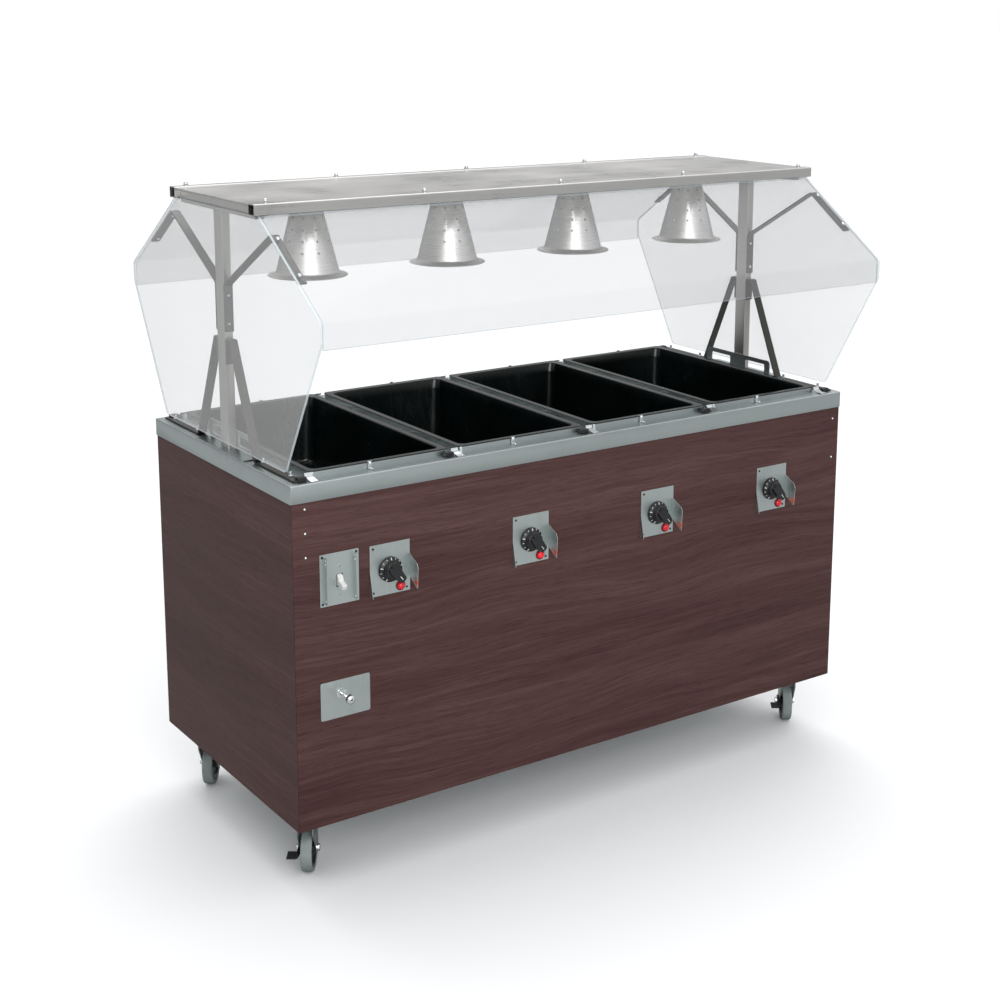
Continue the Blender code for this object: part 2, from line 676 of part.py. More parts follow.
def build_guard_sheets():
    profile = [GUARD_TOP, GUARD_WIDE, GUARD_WIDE_LOW, GUARD_FOOT]
    corners = profile + [(-y, z) for y, z in reversed(profile)]
    radii = [0.004, 0.012, 0.012, 0.010]
    outline = rounded_polygon(corners, radii + radii[::-1])
    inner = POST_X + POST_HALF[0] + 0.0008
    for name, side in (("end_guard_left", -1), ("end_guard_right", 1)):
        prism(name, outline, "X", side * inner, side * (inner + ACRYLIC), CLEAR)
    reach = POST_X + POST_HALF[0] - 0.0005
    sheet = [GUARD_TOP, GUARD_WIDE, (GUARD_WIDE[0], GUARD_LIP_Z)]
    for name, side in (("front_guard", -1), ("rear_guard", 1)):
        bent_strip(name, sheet, -ACRYLIC, 0.0, (-reach, reach), side, CLEAR)


# ---- Casters -----------------------------------------------------------------------------
def to_caster(points, place, heading):
    """Moves local (forward, sideways, up) points to a caster that stands at place."""
    frame = Matrix.Translation(place) @ Matrix.Rotation(heading, 4, "Z")
    return [frame @ Vector(point) for point in points]


def caster_plate(name, outline, sides, place, slot):
    """Extrudes a (forward, up) outline between two sideways distances."""
    rings = []
    for side in sides:
        rings.append(to_caster([(a, side, b) for a, b in outline], place, CASTER_HEADING))
    return loft(name, rings, slot)


def caster_rod(name, start, end, radius, place, slot):
    ends = to_caster([start, end], place, CASTER_HEADING)
    return rod(name, ends[0], ends[1], radius, 16, slot)


def build_caster(corner, x_side, y_side, has_brake):
    place = Vector((x_side * CASTER_X, y_side * CASTER_Y, 0.0))
    top = CABINET_Z - 0.003 - GAP
    axle = (CASTER_TRAIL, WHEEL_RADIUS)

    race_low = 0.126
    fork = caster_rod(f"caster_fork_{corner}", (0, 0, race_low), (0, 0, top), 0.030, place, ZINC)
    bridge = [(-0.028, 0.123), (0.034, 0.123), (0.030, 0.1285), (-0.024, 0.1285)]
    leg = [
        (-0.026, 0.124),
        (-0.024, 0.108),
        (axle[0] - 0.013, axle[1] - 0.003),
        (axle[0] - 0.006, axle[1] - 0.011),
        (axle[0] + 0.006, axle[1] - 0.011),
        (axle[0] + 0.013, axle[1] - 0.002),
        (0.036, 0.110),
        (0.032, 0.124),
    ]
    unite(
        fork,
        caster_plate("bridge", bridge, (-0.0184, 0.0184), place, ZINC),
        caster_plate("leg", leg, (0.0155, 0.0183), place, ZINC),
        caster_plate("leg", leg, (-0.0183, -0.0155), place, ZINC),
    )
    ends = (axle[0], -0.0235, axle[1]), (axle[0], 0.0250, axle[1])
    unite(fork, caster_rod("axle", *ends, 0.0050, place, ZINC))
    smooth(fork)
    set_origin(fork, place + Vector((0, 0, 0.140)))

    centre, tip = to_caster([(axle[0], 0, axle[1]), (axle[0], 1, axle[1])], place, CASTER_HEADING)
    tread = WHEEL_RADIUS
    profile = [
        (0.0055, -0.0145),
        (0.0120, -0.0145),
        (0.0140, -0.0085),
        (tread - 0.013, -0.0085),
        (tread - 0.010, -0.0120),
        (tread - 0.002, -0.0115),
        (tread, -0.0090),
        (tread, 0.0090),
        (tread - 0.002, 0.0115),
        (tread - 0.010, 0.0120),
        (tread - 0.013, 0.0085),
        (0.0140, 0.0085),
        (0.0120, 0.0145),
        (0.0055, 0.0145),
    ]
    wheel = lathe(f"caster_wheel_{corner}", profile, centre, tip - centre, 28, TREAD)
    set_origin(wheel, centre)

    if has_brake:
        outline = [
            (axle[0] + 0.012, axle[1] - 0.006),
            (axle[0] + 0.012, axle[1] + 0.006),
            (axle[0] + 0.006, axle[1] + 0.012),
            (axle[0] - 0.006, axle[1] + 0.012),
            (axle[0] - 0.046, axle[1] + 0.003),
            (axle[0] - 0.046, axle[1] - 0.004),
            (axle[0] - 0.006, axle[1] - 0.012),
            (axle[0] + 0.006, axle[1] - 0.012),
        ]
        sides = (0.0187, 0.0217)
        brake = caster_plate(f"caster_brake_{corner}", outline, sides, place, BLACK_PLASTIC)
        wing = [
            (axle[0] - 0.050, axle[1] - 0.0030),
            (axle[0] - 0.050, axle[1] + 0.0005),
            (axle[0] - 0.024, axle[1] + 0.0030),
            (axle[0] - 0.024, axle[1] - 0.0005),
        ]
        unite(brake, caster_plate("wing", wing, (0.0200, 0.0420), place, BLACK_PLASTIC))
        bore = ((axle[0], 0.010, axle[1]), (axle[0], 0.040, axle[1]))
        cut(brake, caster_rod("bore", *bore, 0.0056, place, BLACK_PLASTIC))
        set_origin(brake, centre)


# ---- Assembly ----------------------------------------------------------------------------
build_countertop()
build_panels()
build_power_inlet()
build_bottom_pan()
build_wells()
build_drain_manifold()
build_control_box()
build_switch()
for well_number, well_x in enumerate(WELL_CENTRES, 1):
    build_control(well_number, well_x)
build_drain_controls()
build_overshelf()
build_lamp_raceway()
build_lamp_shades()
build_posts()
build_guard_strips()
build_guard_sheets()
build_caster("front_left", -1, -1, True)
build_caster("front_right", 1, -1, True)
build_caster("rear_left", -1, 1, False)
build_caster("rear_right", 1, 1, False)
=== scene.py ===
"""Looks of the rolling steam table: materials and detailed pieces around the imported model.

Metres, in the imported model's frame: +Z up, +X along the length, and the control side faces -Y.
"""

import math

import bmesh
import bpy
from mathutils import Matrix, Quaternion, Vector


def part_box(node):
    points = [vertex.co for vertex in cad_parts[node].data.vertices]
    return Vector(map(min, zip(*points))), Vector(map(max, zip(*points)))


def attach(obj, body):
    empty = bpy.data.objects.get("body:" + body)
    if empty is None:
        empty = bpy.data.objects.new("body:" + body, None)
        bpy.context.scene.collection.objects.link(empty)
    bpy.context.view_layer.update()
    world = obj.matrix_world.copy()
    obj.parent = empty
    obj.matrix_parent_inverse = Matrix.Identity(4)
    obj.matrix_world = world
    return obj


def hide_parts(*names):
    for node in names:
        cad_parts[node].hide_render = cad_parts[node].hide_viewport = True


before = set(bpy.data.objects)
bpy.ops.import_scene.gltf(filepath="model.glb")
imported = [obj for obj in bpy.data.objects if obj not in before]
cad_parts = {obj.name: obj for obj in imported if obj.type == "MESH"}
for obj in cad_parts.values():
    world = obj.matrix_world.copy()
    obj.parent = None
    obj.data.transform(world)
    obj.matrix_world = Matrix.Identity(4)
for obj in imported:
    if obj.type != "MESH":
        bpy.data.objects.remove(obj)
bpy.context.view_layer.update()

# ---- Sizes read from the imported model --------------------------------
GAP = 0.0003  # clearance between two pieces that touch
ENDS = (("left", -1), ("right", 1))
FACES = (("front", -1), ("rear", 1))
TOP_LOW, TOP_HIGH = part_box("countertop")
COUNTER_Z = TOP_HIGH.z
HALF_X, HALF_Y = TOP_HIGH.x, TOP_HIGH.y
SHEET = 0.002  # countertop and rail sheet
WELLS = [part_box(f"well_{number}") for number in (1, 2, 3, 4)]
WELL_X = [(low.x + high.x) / 2 for low, high in WELLS]
RIM_HALF_X = (WELLS[0][1].x - WELLS[0][0].x) / 2
RIM_HALF_Y = WELLS[0][1].y
RIM_Z = WELLS[0][1].z
WELL_BOTTOM = WELLS[0][0].z
WELL_DRAIN_Y = -0.200
TUB_FLOOR = 0.005
DRAIN_RADIUS = 0.010
STEP = 0.012  # raised steel collar that carries each rim
COLLAR_SHEET = 0.0015
PANEL_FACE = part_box("front_panel")[0].y
PLATE_FACE = PANEL_FACE - GAP - 0.0015  # outer face of the control plates
CONTROL_Z = 0.686
SWITCH_TILT = math.radians(24)
SWITCH_DRUM = 0.013
SWITCH_FLANGE = 0.034
DIAL_EDGE = (0.0270, 0.0048)  # outer corner of the dial's sloped skirt: radius, distance from the plate
DIAL_NECK = (0.0202, 0.0080)  # inner corner of that skirt
PILOT_RADIUS = 0.0092

SHELF_LOW, SHELF_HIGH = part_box("overshelf")
SHELF_HALF_X, SHELF_HALF_Y = SHELF_HIGH.x, SHELF_HIGH.y
RAIL_TOP = 1.450
RAIL_DEPTH = 0.028
RAIL_HEIGHT = RAIL_TOP - SHELF_LOW.z
NUT_X = (-0.728, -0.357, 0.0, 0.357, 0.728)
RACEWAY_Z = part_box("lamp_raceway")[0].z
BRIM_RADIUS = (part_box("lamp_shade_1")[1].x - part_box("lamp_shade_1")[0].x) / 2
BRIM_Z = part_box("lamp_shade_1")[0].z
SHADE_TOP_RADIUS = 0.032
SHADE_CONE_RADIUS = 0.069

POST_X = 0.735
POST_HALF = (0.010, 0.019)
POST_WALL = 0.0015
FOOT_HALF = 0.122
FOOT_WINDOW = (0.030, 0.103)
STRIP = 0.004
ACRYLIC = 0.005
GUARD_TOP = Vector((0.207, 1.4255))
GUARD_WIDE = Vector((0.465, 1.250))
GUARD_WIDE_LOW = Vector((0.465, 1.206))
GUARD_FOOT = Vector((0.300, 0.918))
GUARD_LIP_Z = 1.195

CASTER_X, CASTER_Y = 0.700, 0.255
CASTER_HEADING = math.radians(54)
CASTER_TRAIL = 0.030
CASTER_TOP = 0.149
WHEEL_RADIUS = 0.0508
AXLE = (CASTER_TRAIL, WHEEL_RADIUS)
FORK_SIDE = (0.0155, 0.0183)  # inner and outer face of a fork leg


# ---- Shader node helpers ---------------------------------------------
def add_node(tree, kind, inputs=None, **settings):
    """Adds a shader node. An input given as a socket is linked, and any other is set."""
    node = tree.nodes.new("ShaderNode" + kind)
    for name, value in settings.items():
        setattr(node, name, value)
    for name, value in (inputs or {}).items():
        if isinstance(value, bpy.types.NodeSocket):
            tree.links.new(value, node.inputs[name])
        else:
            node.inputs[name].default_value = value
    return node


def principled(name, roughness, metallic=0.0, **constants):
    made = bpy.data.materials.new(name)
    made.use_nodes = True
    shader = made.node_tree.nodes["Principled BSDF"]
    shader.inputs["Roughness"].default_value = roughness
    shader.inputs["Metallic"].default_value = metallic
    for socket, value in constants.items():
        shader.inputs[socket.replace("_", " ")].default_value = value
    return made, made.node_tree, shader


def surface_point(tree):
    """Position on the piece, in metres, which stays with the piece when it moves."""
    return add_node(tree, "TexCoord").outputs["Object"]


def noise(tree, scale, detail=3.0, rough=0.55, point=None, distortion=0.0, output="Fac"):
    """Noise with its own scale along X, Y and Z, in cells per metre."""
    vector = point or surface_point(tree)
    mapped = add_node(tree, "Mapping", {"Vector": vector, "Scale": scale})
    inputs = {
        "Vector": mapped.outputs["Vector"],
        "Scale": 1.0,
        "Detail": detail,
        "Roughness": rough,
        "Distortion": distortion,
    }
    return add_node(tree, "TexNoise", inputs).outputs[output]


def spread(tree, value, low, high, start=0.3, end=0.7):
    """Maps a noise value from start..end to low..high."""
    inputs = {"Value": value, "From Min": start, "From Max": end, "To Min": low, "To Max": high}
    return add_node(tree, "MapRange", inputs).outputs["Result"]


def calculate(tree, operation, first, second, kind="Math", output="Value"):
    """One Math or VectorMath node."""
    node = add_node(tree, kind, operation=operation)
    for socket, value in zip(node.inputs, (first, second)):
        if isinstance(value, bpy.types.NodeSocket):
            tree.links.new(value, socket)
        else:
            socket.default_value = value
    return node.outputs[output]


def weighted(tree, *terms):
    """Sum of (value, share) terms."""
    total = calculate(tree, "MULTIPLY", *terms[0])
    for value, share in terms[1:]:
        total = calculate(tree, "ADD", total, calculate(tree, "MULTIPLY", value, share))
    return total


def ramp(tree, value, *stops):
    """Colour ramp through (position, colour) stops."""
    node = add_node(tree, "ValToRGB", {"Fac": value})
    elements = node.color_ramp.elements
    while len(elements) < len(stops):
        elements.new(0.5)
    for element, (position, color) in zip(elements, stops):
        element.position = position
        element.color = (*color, 1.0)
    return node.outputs["Color"]


def relief(tree, shader, height, strength, distance):
    bump = add_node(tree, "Bump", {"Height": height, "Strength": strength, "Distance": distance})
    tree.links.new(bump.outputs["Normal"], shader.inputs["Normal"])


def shades(tree, value, color, *stops):
    """Ramp through darker and lighter shares of one colour, as (position, share) stops."""
    return ramp(tree, value, *[(place, [channel * share for channel in color]) for place, share in stops])


def finish_of(tree, shader, color, roughness):
    tree.links.new(color, shader.inputs["Base Color"])
    tree.links.new(roughness, shader.inputs["Roughness"])


# ---- Materials -------------------------------------------------------
def brushed_metal(name, color, along, roughness=0.34, grain=0.12):
    """Sheet steel with fine scratches along one axis (0, 1 or 2) over faint uneven patches."""
    made, tree, shader = principled(name, roughness, 1.0)
    fine, broad = [420.0] * 3, [55.0] * 3
    fine[along], broad[along] = 7.0, 1.2
    scratches = noise(tree, fine, 4.0, 0.6)
    streaks = noise(tree, broad, 3.0)
    patches = noise(tree, (6.0, 6.0, 6.0), 4.0)
    mixed = weighted(tree, (scratches, 0.55), (patches, 1.0), (streaks, 0.45))
    rough = spread(tree, mixed, roughness - 0.05, roughness + 0.06, 0.75, 1.25)
    finish_of(tree, shader, shades(tree, mixed, color, (0.72, 0.92), (1.28, 1.06)), rough)
    relief(tree, shader, scratches, grain, 0.0004)
    return made


def woodgrain(name, along):
    """Dark reddish brown laminate: long wavy streaks, fine dark pores and a satin film."""
    made, tree, shader = principled(name, 0.45, 0.0, Specular_IOR_Level=0.10)
    point = surface_point(tree)
    bent = noise(tree, (1.3, 1.3, 5.0), 2.0, 0.5, point, output="Color")
    steps = (("SUBTRACT", (0.5, 0.5, 0.5)), ("MULTIPLY", (0.0, 0.0, 0.11)), ("ADD", point))
    for operation, other in steps:
        bent = calculate(tree, operation, bent, other, "VectorMath", "Vector")

    broad, middle, fine, pore = [11.0] * 3, [75.0] * 3, [330.0] * 3, [620.0] * 3
    for scale, stretch in ((broad, 0.60), (middle, 2.6), (fine, 8.0), (pore, 26.0)):
        scale[along] = stretch
    bands = noise(tree, broad, 2.0, 0.5, bent)
    streaks = noise(tree, middle, 4.0, 0.62, bent, 0.25)
    fibres = noise(tree, fine, 3.0, 0.6, bent)
    pores = noise(tree, pore, 2.0, 0.5, bent)
    grain = weighted(tree, (bands, 0.30), (streaks, 0.42), (fibres, 0.28))
    color = ramp(
        tree,
        grain,
        (0.36, (0.058, 0.0270, 0.0260)),
        (0.46, (0.078, 0.0380, 0.0360)),
        (0.55, (0.098, 0.0500, 0.0475)),
        (0.66, (0.128, 0.0700, 0.0655)),
    )
    darkened = add_node(tree, "Mix", data_type="RGBA", blend_type="MULTIPLY")
    darkened.inputs[0].default_value = 1.0
    tree.links.new(color, darkened.inputs[6])
    tree.links.new(ramp(tree, pores, (0.33, (0.72, 0.70, 0.70)), (0.42, (1, 1, 1))), darkened.inputs[7])
    finish_of(tree, shader, darkened.outputs[2], spread(tree, streaks, 0.36, 0.50))
    relief(tree, shader, calculate(tree, "ADD", fibres, pores), 0.10, 0.0004)
    return made


def moulded(name, color, roughness, fine=900.0, strength=0.10, **constants):
    """Moulded plastic or rubber: a little uneven in colour and gloss, with a fine orange peel."""
    made, tree, shader = principled(name, roughness, 0.0, **constants)
    patches = noise(tree, (22.0, 22.0, 22.0), 4.0, 0.6)
    rough = spread(tree, patches, roughness * 0.80, roughness * 1.25)
    finish_of(tree, shader, shades(tree, patches, color, (0.35, 0.82), (0.65, 1.15)), rough)
    relief(tree, shader, noise(tree, (fine,) * 3, 2.0), strength, 0.0003)
    return made


def thermoset():
    """Black tub with a green cast: glossy, with faint scuffs and water marks."""
    color = (0.0012, 0.0034, 0.0034)
    made, tree, shader = principled("well_thermoset", 0.20, 0.0, Specular_IOR_Level=0.60)
    scuffs = noise(tree, (60.0, 9.0, 14.0), 5.0, 0.65, distortion=0.4)
    clouds = noise(tree, (5.0, 5.0, 5.0), 3.0)
    rough = spread(tree, calculate(tree, "MULTIPLY", scuffs, clouds), 0.14, 0.32, 0.12, 0.42)
    finish_of(tree, shader, shades(tree, clouds, color, (0.35, 0.75), (0.70, 1.6)), rough)
    relief(tree, shader, noise(tree, (420.0,) * 3, 2.0), 0.06, 0.0004)
    return made


def clear_sheet(name, veil_and_reflection, alpha, roughness):
    """Clear acrylic, mostly see-through: sharp reflections and a faint veil of haze and painted reflection.
    """
    made, tree, shader = principled(name, roughness, 0.0, IOR=1.49)
    haze = noise(tree, (4.0, 4.0, 4.0), 3.0)
    marks = noise(tree, (160.0, 22.0, 160.0), 4.0, 0.6)
    rough = spread(tree, marks, roughness * 0.6, roughness * 1.8)
    finish_of(tree, shader, shades(tree, haze, veil_and_reflection, (0.3, 0.93), (0.7, 1.0)), rough)
    # Opacity rises where the sheet is seen edge-on: painted reflection at grazing angles.
    grazing_sheen = add_node(tree, "LayerWeight", {"Blend": 0.5}).outputs["Facing"]
    grazing_sheen = calculate(tree, "POWER", grazing_sheen, 5.0)
    opacity = weighted(tree, (grazing_sheen, 0.70), (alpha, 1.0))
    tree.links.new(calculate(tree, "MINIMUM", opacity, 1.0), shader.inputs["Alpha"])
    return made


def spun_metal():
    """Spun aluminium: turning rings up the cone, which stretch each reflection into a streak."""
    color = (0.93, 0.92, 0.90)
    made, tree, shader = principled("spun_shade", 0.27, 1.0, Anisotropic=0.80)
    rings = noise(tree, (2.0, 2.0, 1500.0), 3.0, 0.6)
    bands = noise(tree, (2.0, 2.0, 60.0), 2.0)
    color_out = shades(tree, bands, color, (0.30, 0.97), (0.70, 1.03))
    finish_of(tree, shader, color_out, spread(tree, rings, 0.24, 0.36))
    tangent = add_node(tree, "Tangent", direction_type="RADIAL", axis="Z")
    tree.links.new(tangent.outputs["Tangent"], shader.inputs["Tangent"])
    relief(tree, shader, rings, 0.03, 0.0002)
    return made


def plated(name, color, roughness):
    """Plated or cast metal with slight waviness and finger marks."""
    made, tree, shader = principled(name, roughness, 1.0)
    marks = noise(tree, (45.0, 45.0, 45.0), 4.0, 0.6)
    rough = spread(tree, marks, roughness * 0.7, roughness * 1.5)
    finish_of(tree, shader, shades(tree, marks, color, (0.30, 0.86), (0.70, 1.06)), rough)
    relief(tree, shader, noise(tree, (300.0,) * 3, 3.0), 0.05, 0.0004)
    return made


STEEL_COLOR = (0.47, 0.51, 0.51)
STEEL_X = brushed_metal("steel_grain_x", STEEL_COLOR, 0)
STEEL_Y = brushed_metal("steel_grain_y", STEEL_COLOR, 1)
STEEL_Z = brushed_metal("steel_grain_z", (0.56, 0.54, 0.52), 2)
SHELF_STEEL = brushed_metal("shelf_steel", (0.62, 0.60, 0.585), 0, 0.30)
PLATE_STEEL = brushed_metal("plate_steel", (0.52, 0.57, 0.56), 2, 0.40, 0.06)
# Arms and braces: brushed steel darkened to near black, painted shade for their dark reflections.
STRIP_STEEL_SHADED = brushed_metal("strip_steel_painted_dark", (0.085, 0.082, 0.076), 2, 0.36)
WOOD_X = woodgrain("laminate_grain_x", 0)
WOOD_Y = woodgrain("laminate_grain_y", 1)
THERMOSET = thermoset()
# The veils below are partly haze and partly painted reflection of the bright surround.
ACRYLIC_UPRIGHT = clear_sheet("acrylic_end_sheet", (0.92, 0.91, 0.90), 0.18, 0.06)
# Sloped front and rear sheets: the same acrylic with a veil half as bright, as painted shade.
ACRYLIC_SLOPED_SHADED = clear_sheet("acrylic_sloped_painted_shade", (0.44, 0.435, 0.44), 0.17, 0.06)
# Edge faces: the sheet's own bluish edge tint with a painted highlight.
ACRYLIC_EDGE_HIGHLIGHT = clear_sheet("acrylic_edge_highlight", (0.74, 0.82, 0.86), 0.62, 0.12)
SPUN = spun_metal()
CHROME = plated("polished_chrome", (0.80, 0.82, 0.83), 0.09)
ZINC = plated("zinc_plated_steel", (0.50, 0.54, 0.54), 0.30)
BRASS = plated("dull_brass", (0.52, 0.36, 0.14), 0.40)
BLACK = moulded("black_moulding", (0.012, 0.012, 0.013), 0.36)
WHITE = moulded("white_moulding", (0.84, 0.84, 0.82), 0.30, strength=0.04)
RED_LENS = moulded("red_lens", (0.95, 0.003, 0.020), 0.12, strength=0.02, Coat_Weight=0.6)
# Orange-red: painted reflection of the red pilot light on the plates' wings.
RED_PAINTED_REFLECTION = moulded("painted_red_reflection", (0.55, 0.13, 0.07), 0.45)
TREAD = moulded("grey_rubber_tread", (0.27, 0.31, 0.30), 0.62, 600.0, 0.25)
CERAMIC = moulded("white_porcelain", (0.78, 0.76, 0.71), 0.22, strength=0.03)
BULB_GLASS = moulded("frosted_bulb", (0.82, 0.78, 0.74), 0.35, strength=0.02, Coat_Weight=0.5)


# ---- Mesh helpers ----------------------------------------------------
def loft(bm, rings, joined=False):
    """Skins rings of equal point count, and closes both ends or joins the last ring to the first."""
    rows = [[bm.verts.new(point) for point in ring] for ring in rings]
    count = len(rings[0])
    for lower, upper in zip(rows, rows[1:] + rows[:1] if joined else rows[1:]):
        for i in range(count):
            j = (i + 1) % count
            bm.faces.new((lower[i], lower[j], upper[j], upper[i]))
    if not joined:
        bm.faces.new(rows[0])
        bm.faces.new(rows[-1])


def prism(bm, outline, axis, start, end):
    """Extrudes a 2-D outline along X (outline in Y, Z), Y (in X, Z) or Z (in X, Y)."""
    place = {
        "X": lambda a, b, along: (along, a, b),
        "Y": lambda a, b, along: (a, along, b),
        "Z": lambda a, b, along: (a, b, along),
    }[axis]
    loft(bm, [[place(a, b, along) for a, b in outline] for along in (start, end)])


def box(bm, low, high):
    outline = [(low[0], low[1]), (high[0], low[1]), (high[0], high[1]), (low[0], high[1])]
    prism(bm, outline, "Z", low[2], high[2])


def lathe(bm, profile, origin=(0, 0, 0), axis=(0, 0, 1), segments=32):
    """Turns (radius, distance along axis) points. A profile off the axis closes into a ring."""
    turn = Vector(axis).normalized().to_track_quat("Z", "Y").to_matrix()
    rows = []
    for radius, along in profile:
        count = 1 if radius == 0 else segments
        ring = []
        for i in range(count):
            angle = 2 * math.pi * i / segments
            point = Vector((radius * math.cos(angle), radius * math.sin(angle), along))
            ring.append(bm.verts.new(Vector(origin) + turn @ point))
        rows.append(ring)
    pairs = list(zip(rows, rows[1:]))
    if len(rows[0]) > 1 and len(rows[-1]) > 1:
        pairs.append((rows[-1], rows[0]))
    for lower, upper in pairs:
        for i in range(segments):
            j = (i + 1) % segments
            below = [lower[i % len(lower)], lower[j % len(lower)]]
            above = [upper[j % len(upper)], upper[i % len(upper)]]
            bm.faces.new(list(dict.fromkeys(below + above)))


def arc(before, corner, after, radius, steps):
    """Points of the arc that rounds one corner of a 2-D path."""
    corner = Vector(corner)
    back = (Vector(before) - corner).normalized()
    ahead = (Vector(after) - corner).normalized()
    half = back.angle(ahead) / 2
    centre = corner + (back + ahead).normalized() * (radius / math.sin(half))
    start = corner + back * (radius / math.tan(half)) - centre
    end = corner + ahead * (radius / math.tan(half)) - centre
    sweep = math.copysign(start.angle(end), start.x * end.y - start.y * end.x)
    points = []
    for step in range(steps + 1):
        cosine, sine = math.cos(sweep * step / steps), math.sin(sweep * step / steps)
        turned = (start.x * cosine - start.y * sine, start.x * sine + start.y * cosine)
        points.append((centre.x + turned[0], centre.y + turned[1]))
    return points


def rounded(points, radii, steps=4, closed=True):
    """Rounds the corners of a 2-D outline or, if not closed, the inner corners of a path."""
    if not isinstance(radii, (list, tuple)):
        radii = [radii] * len(points)
    outline = []
    for i, point in enumerate(points):
        at_end = not closed and i in (0, len(points) - 1)
        if at_end or radii[i] == 0:
            outline.append(tuple(point))
        else:
            after = points[(i + 1) % len(points)]
            outline += arc(points[i - 1], point, after, radii[i], steps)
    return outline


def rectangle(half_a, half_b, centre=(0.0, 0.0)):
    signs = ((1, -1), (1, 1), (-1, 1), (-1, -1))
    return [(centre[0] + a * half_a, centre[1] + b * half_b) for a, b in signs]


def disc(radius, low, high):
    """Profile of a plain round piece, for lathe."""
    return [(0.0, low), (radius, low), (radius, high), (0.0, high)]


def dome(radius, base, rise, angles):
    return [(radius * math.cos(a), base + rise * math.sin(a)) for a in angles]


def mirrored(profile):
    """A profile followed by its mirror image in the second coordinate."""
    return profile + [(a, -b) for a, b in reversed(profile)]


def offset_path(path, distance):
    """Moves an open 2-D path sideways, with mitred corners."""
    moved = []
    for i, point in enumerate(path):
        normals = []
        for a, b in ((i - 1, i), (i, i + 1)):
            if a >= 0 and b < len(path):
                along = (Vector(path[b]) - Vector(path[a])).normalized()
                normals.append(Vector((-along.y, along.x)))
        mitre = sum(normals, Vector((0.0, 0.0))).normalized()
        moved.append(tuple(Vector(point) + mitre * (distance / mitre.dot(normals[0]))))
    return moved


def thick_path(path, inner, outer):
    return offset_path(path, outer) + offset_path(path, inner)[::-1]


def bent_strip(bm, path, radius, inner, outer, x_range, side):
    """A strip bent along a (distance from the centre plane, Z) path, mirrored to one side."""
    outline = thick_path(rounded(path, radius, 6, closed=False), inner, outer)
    prism(bm, [(side * y, z) for y, z in outline], "X", *x_range)


def stored(bm, name):
    """The mesh of a bmesh, with its faces turned outwards."""
    bmesh.ops.recalc_face_normals(bm, faces=bm.faces)
    mesh = bpy.data.meshes.new(name)
    bm.to_mesh(mesh)
    bm.free()
    return mesh


def piece(name, shape, material, body="cabinet", replaces=(), bevel=0.0, sharp=35):
    """Makes a bmesh or a mesh into a finished piece, which rides on its body."""
    mesh = stored(shape, name) if isinstance(shape, bmesh.types.BMesh) else shape
    made = bpy.data.objects.new(name, mesh)
    bpy.context.scene.collection.objects.link(made)
    mesh.materials.clear()
    mesh.materials.append(material)
    mesh.shade_smooth()
    if bevel:
        add_bevel(made, bevel)
    else:
        mesh.set_sharp_from_angle(angle=math.radians(sharp))
    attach(made, body)
    if replaces:
        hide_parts(*replaces)
    return made


def turned_piece(name, profile, origin, axis, segments, material, **settings):
    """A piece that is one turned profile."""
    bm = bmesh.new()
    lathe(bm, profile, origin, axis, segments)
    return piece(name, bm, material, **settings)


def add_bevel(obj, width, segments=2):
    change = obj.modifiers.new("edge_rounding", "BEVEL")
    change.width = width
    change.segments = segments
    change.limit_method = "ANGLE"
    change.angle_limit = math.radians(35)
    change.harden_normals = True


def mesh_of(build, *arguments):
    """Runs one builder on an empty bmesh and returns its mesh."""
    bm = bmesh.new()
    build(bm, *arguments)
    return stored(bm, build.__name__)


def cut(mesh, tool_mesh):
    """Returns mesh minus tool_mesh, by one exact Boolean."""
    target = bpy.data.objects.new("target", mesh)
    tool = bpy.data.objects.new("tool", tool_mesh)
    for obj in (target, tool):
        bpy.context.scene.collection.objects.link(obj)
    change = target.modifiers.new("cut", "BOOLEAN")
    change.operation = "DIFFERENCE"
    change.solver = "EXACT"
    change.object = tool
    graph = bpy.context.evaluated_depsgraph_get()
    made = bpy.data.meshes.new_from_object(target.evaluated_get(graph))
    bpy.data.objects.remove(target)
    bpy.data.objects.remove(tool)
    return made


# ---- Fasteners -------------------------------------------------------
def turned_head(bm, profile, place, axis, radius, segments):
    """Turns a profile that is drawn for a head of radius 1."""
    lathe(bm, [(a * radius, b * radius) for a, b in profile], place, axis, segments)


def button_screw(bm, place, axis, radius):
    """Domed head with a round socket."""
    profile = [(0.0, 0.25), (0.36, 0.25), (0.40, 0.62), (0.70, 0.50), (0.92, 0.26), (1.0, 0.0), (0.0, -0.1)]
    turned_head(bm, profile, place, axis, radius, 14)


def flush_screw(bm, place, axis, radius):
    """Low head that stands only a little proud."""
    profile = [(0.0, 0.0), (0.30, 0.0), (0.36, 0.09), (0.88, 0.08), (1.0, 0.0), (0.0, -0.3)]
    turned_head(bm, profile, place, axis, radius, 16)


def acorn_nut(bm, place, axis, radius):
    """Hexagonal nut with a washer below and a domed cap."""
    turned_head(bm, disc(1.15, 0.0, 0.18), place, axis, radius, 20)
    profile = [(0.0, 0.18), (0.92, 0.18), (1.0, 0.28), (1.0, 0.80), (0.9, 0.92), (0.0, 0.95)]
    turned_head(bm, profile, place, axis, radius, 6)
    cap = dome(0.80, 0.92, 0.80, (0.0, 0.35, 0.7, 1.05, 1.35))
    turned_head(bm, [(0.0, 0.90), *cap, (0.0, 1.72)], place, axis, radius, 16)


def hex_bolt(bm, place, axis, radius):
    """Hexagonal head with a chamfered top."""
    profile = [(0.0, -0.1), (1.0, -0.1), (1.0, 0.48), (0.86, 0.62), (0.0, 0.62)]
    turned_head(bm, profile, place, axis, radius, 6)


def fasteners(name, build, places, axis, radius, material=CHROME):
    """One piece that holds a set of equal fasteners."""
    bm = bmesh.new()
    for place in places:
        build(bm, place, axis, radius)
    piece(name, bm, material)


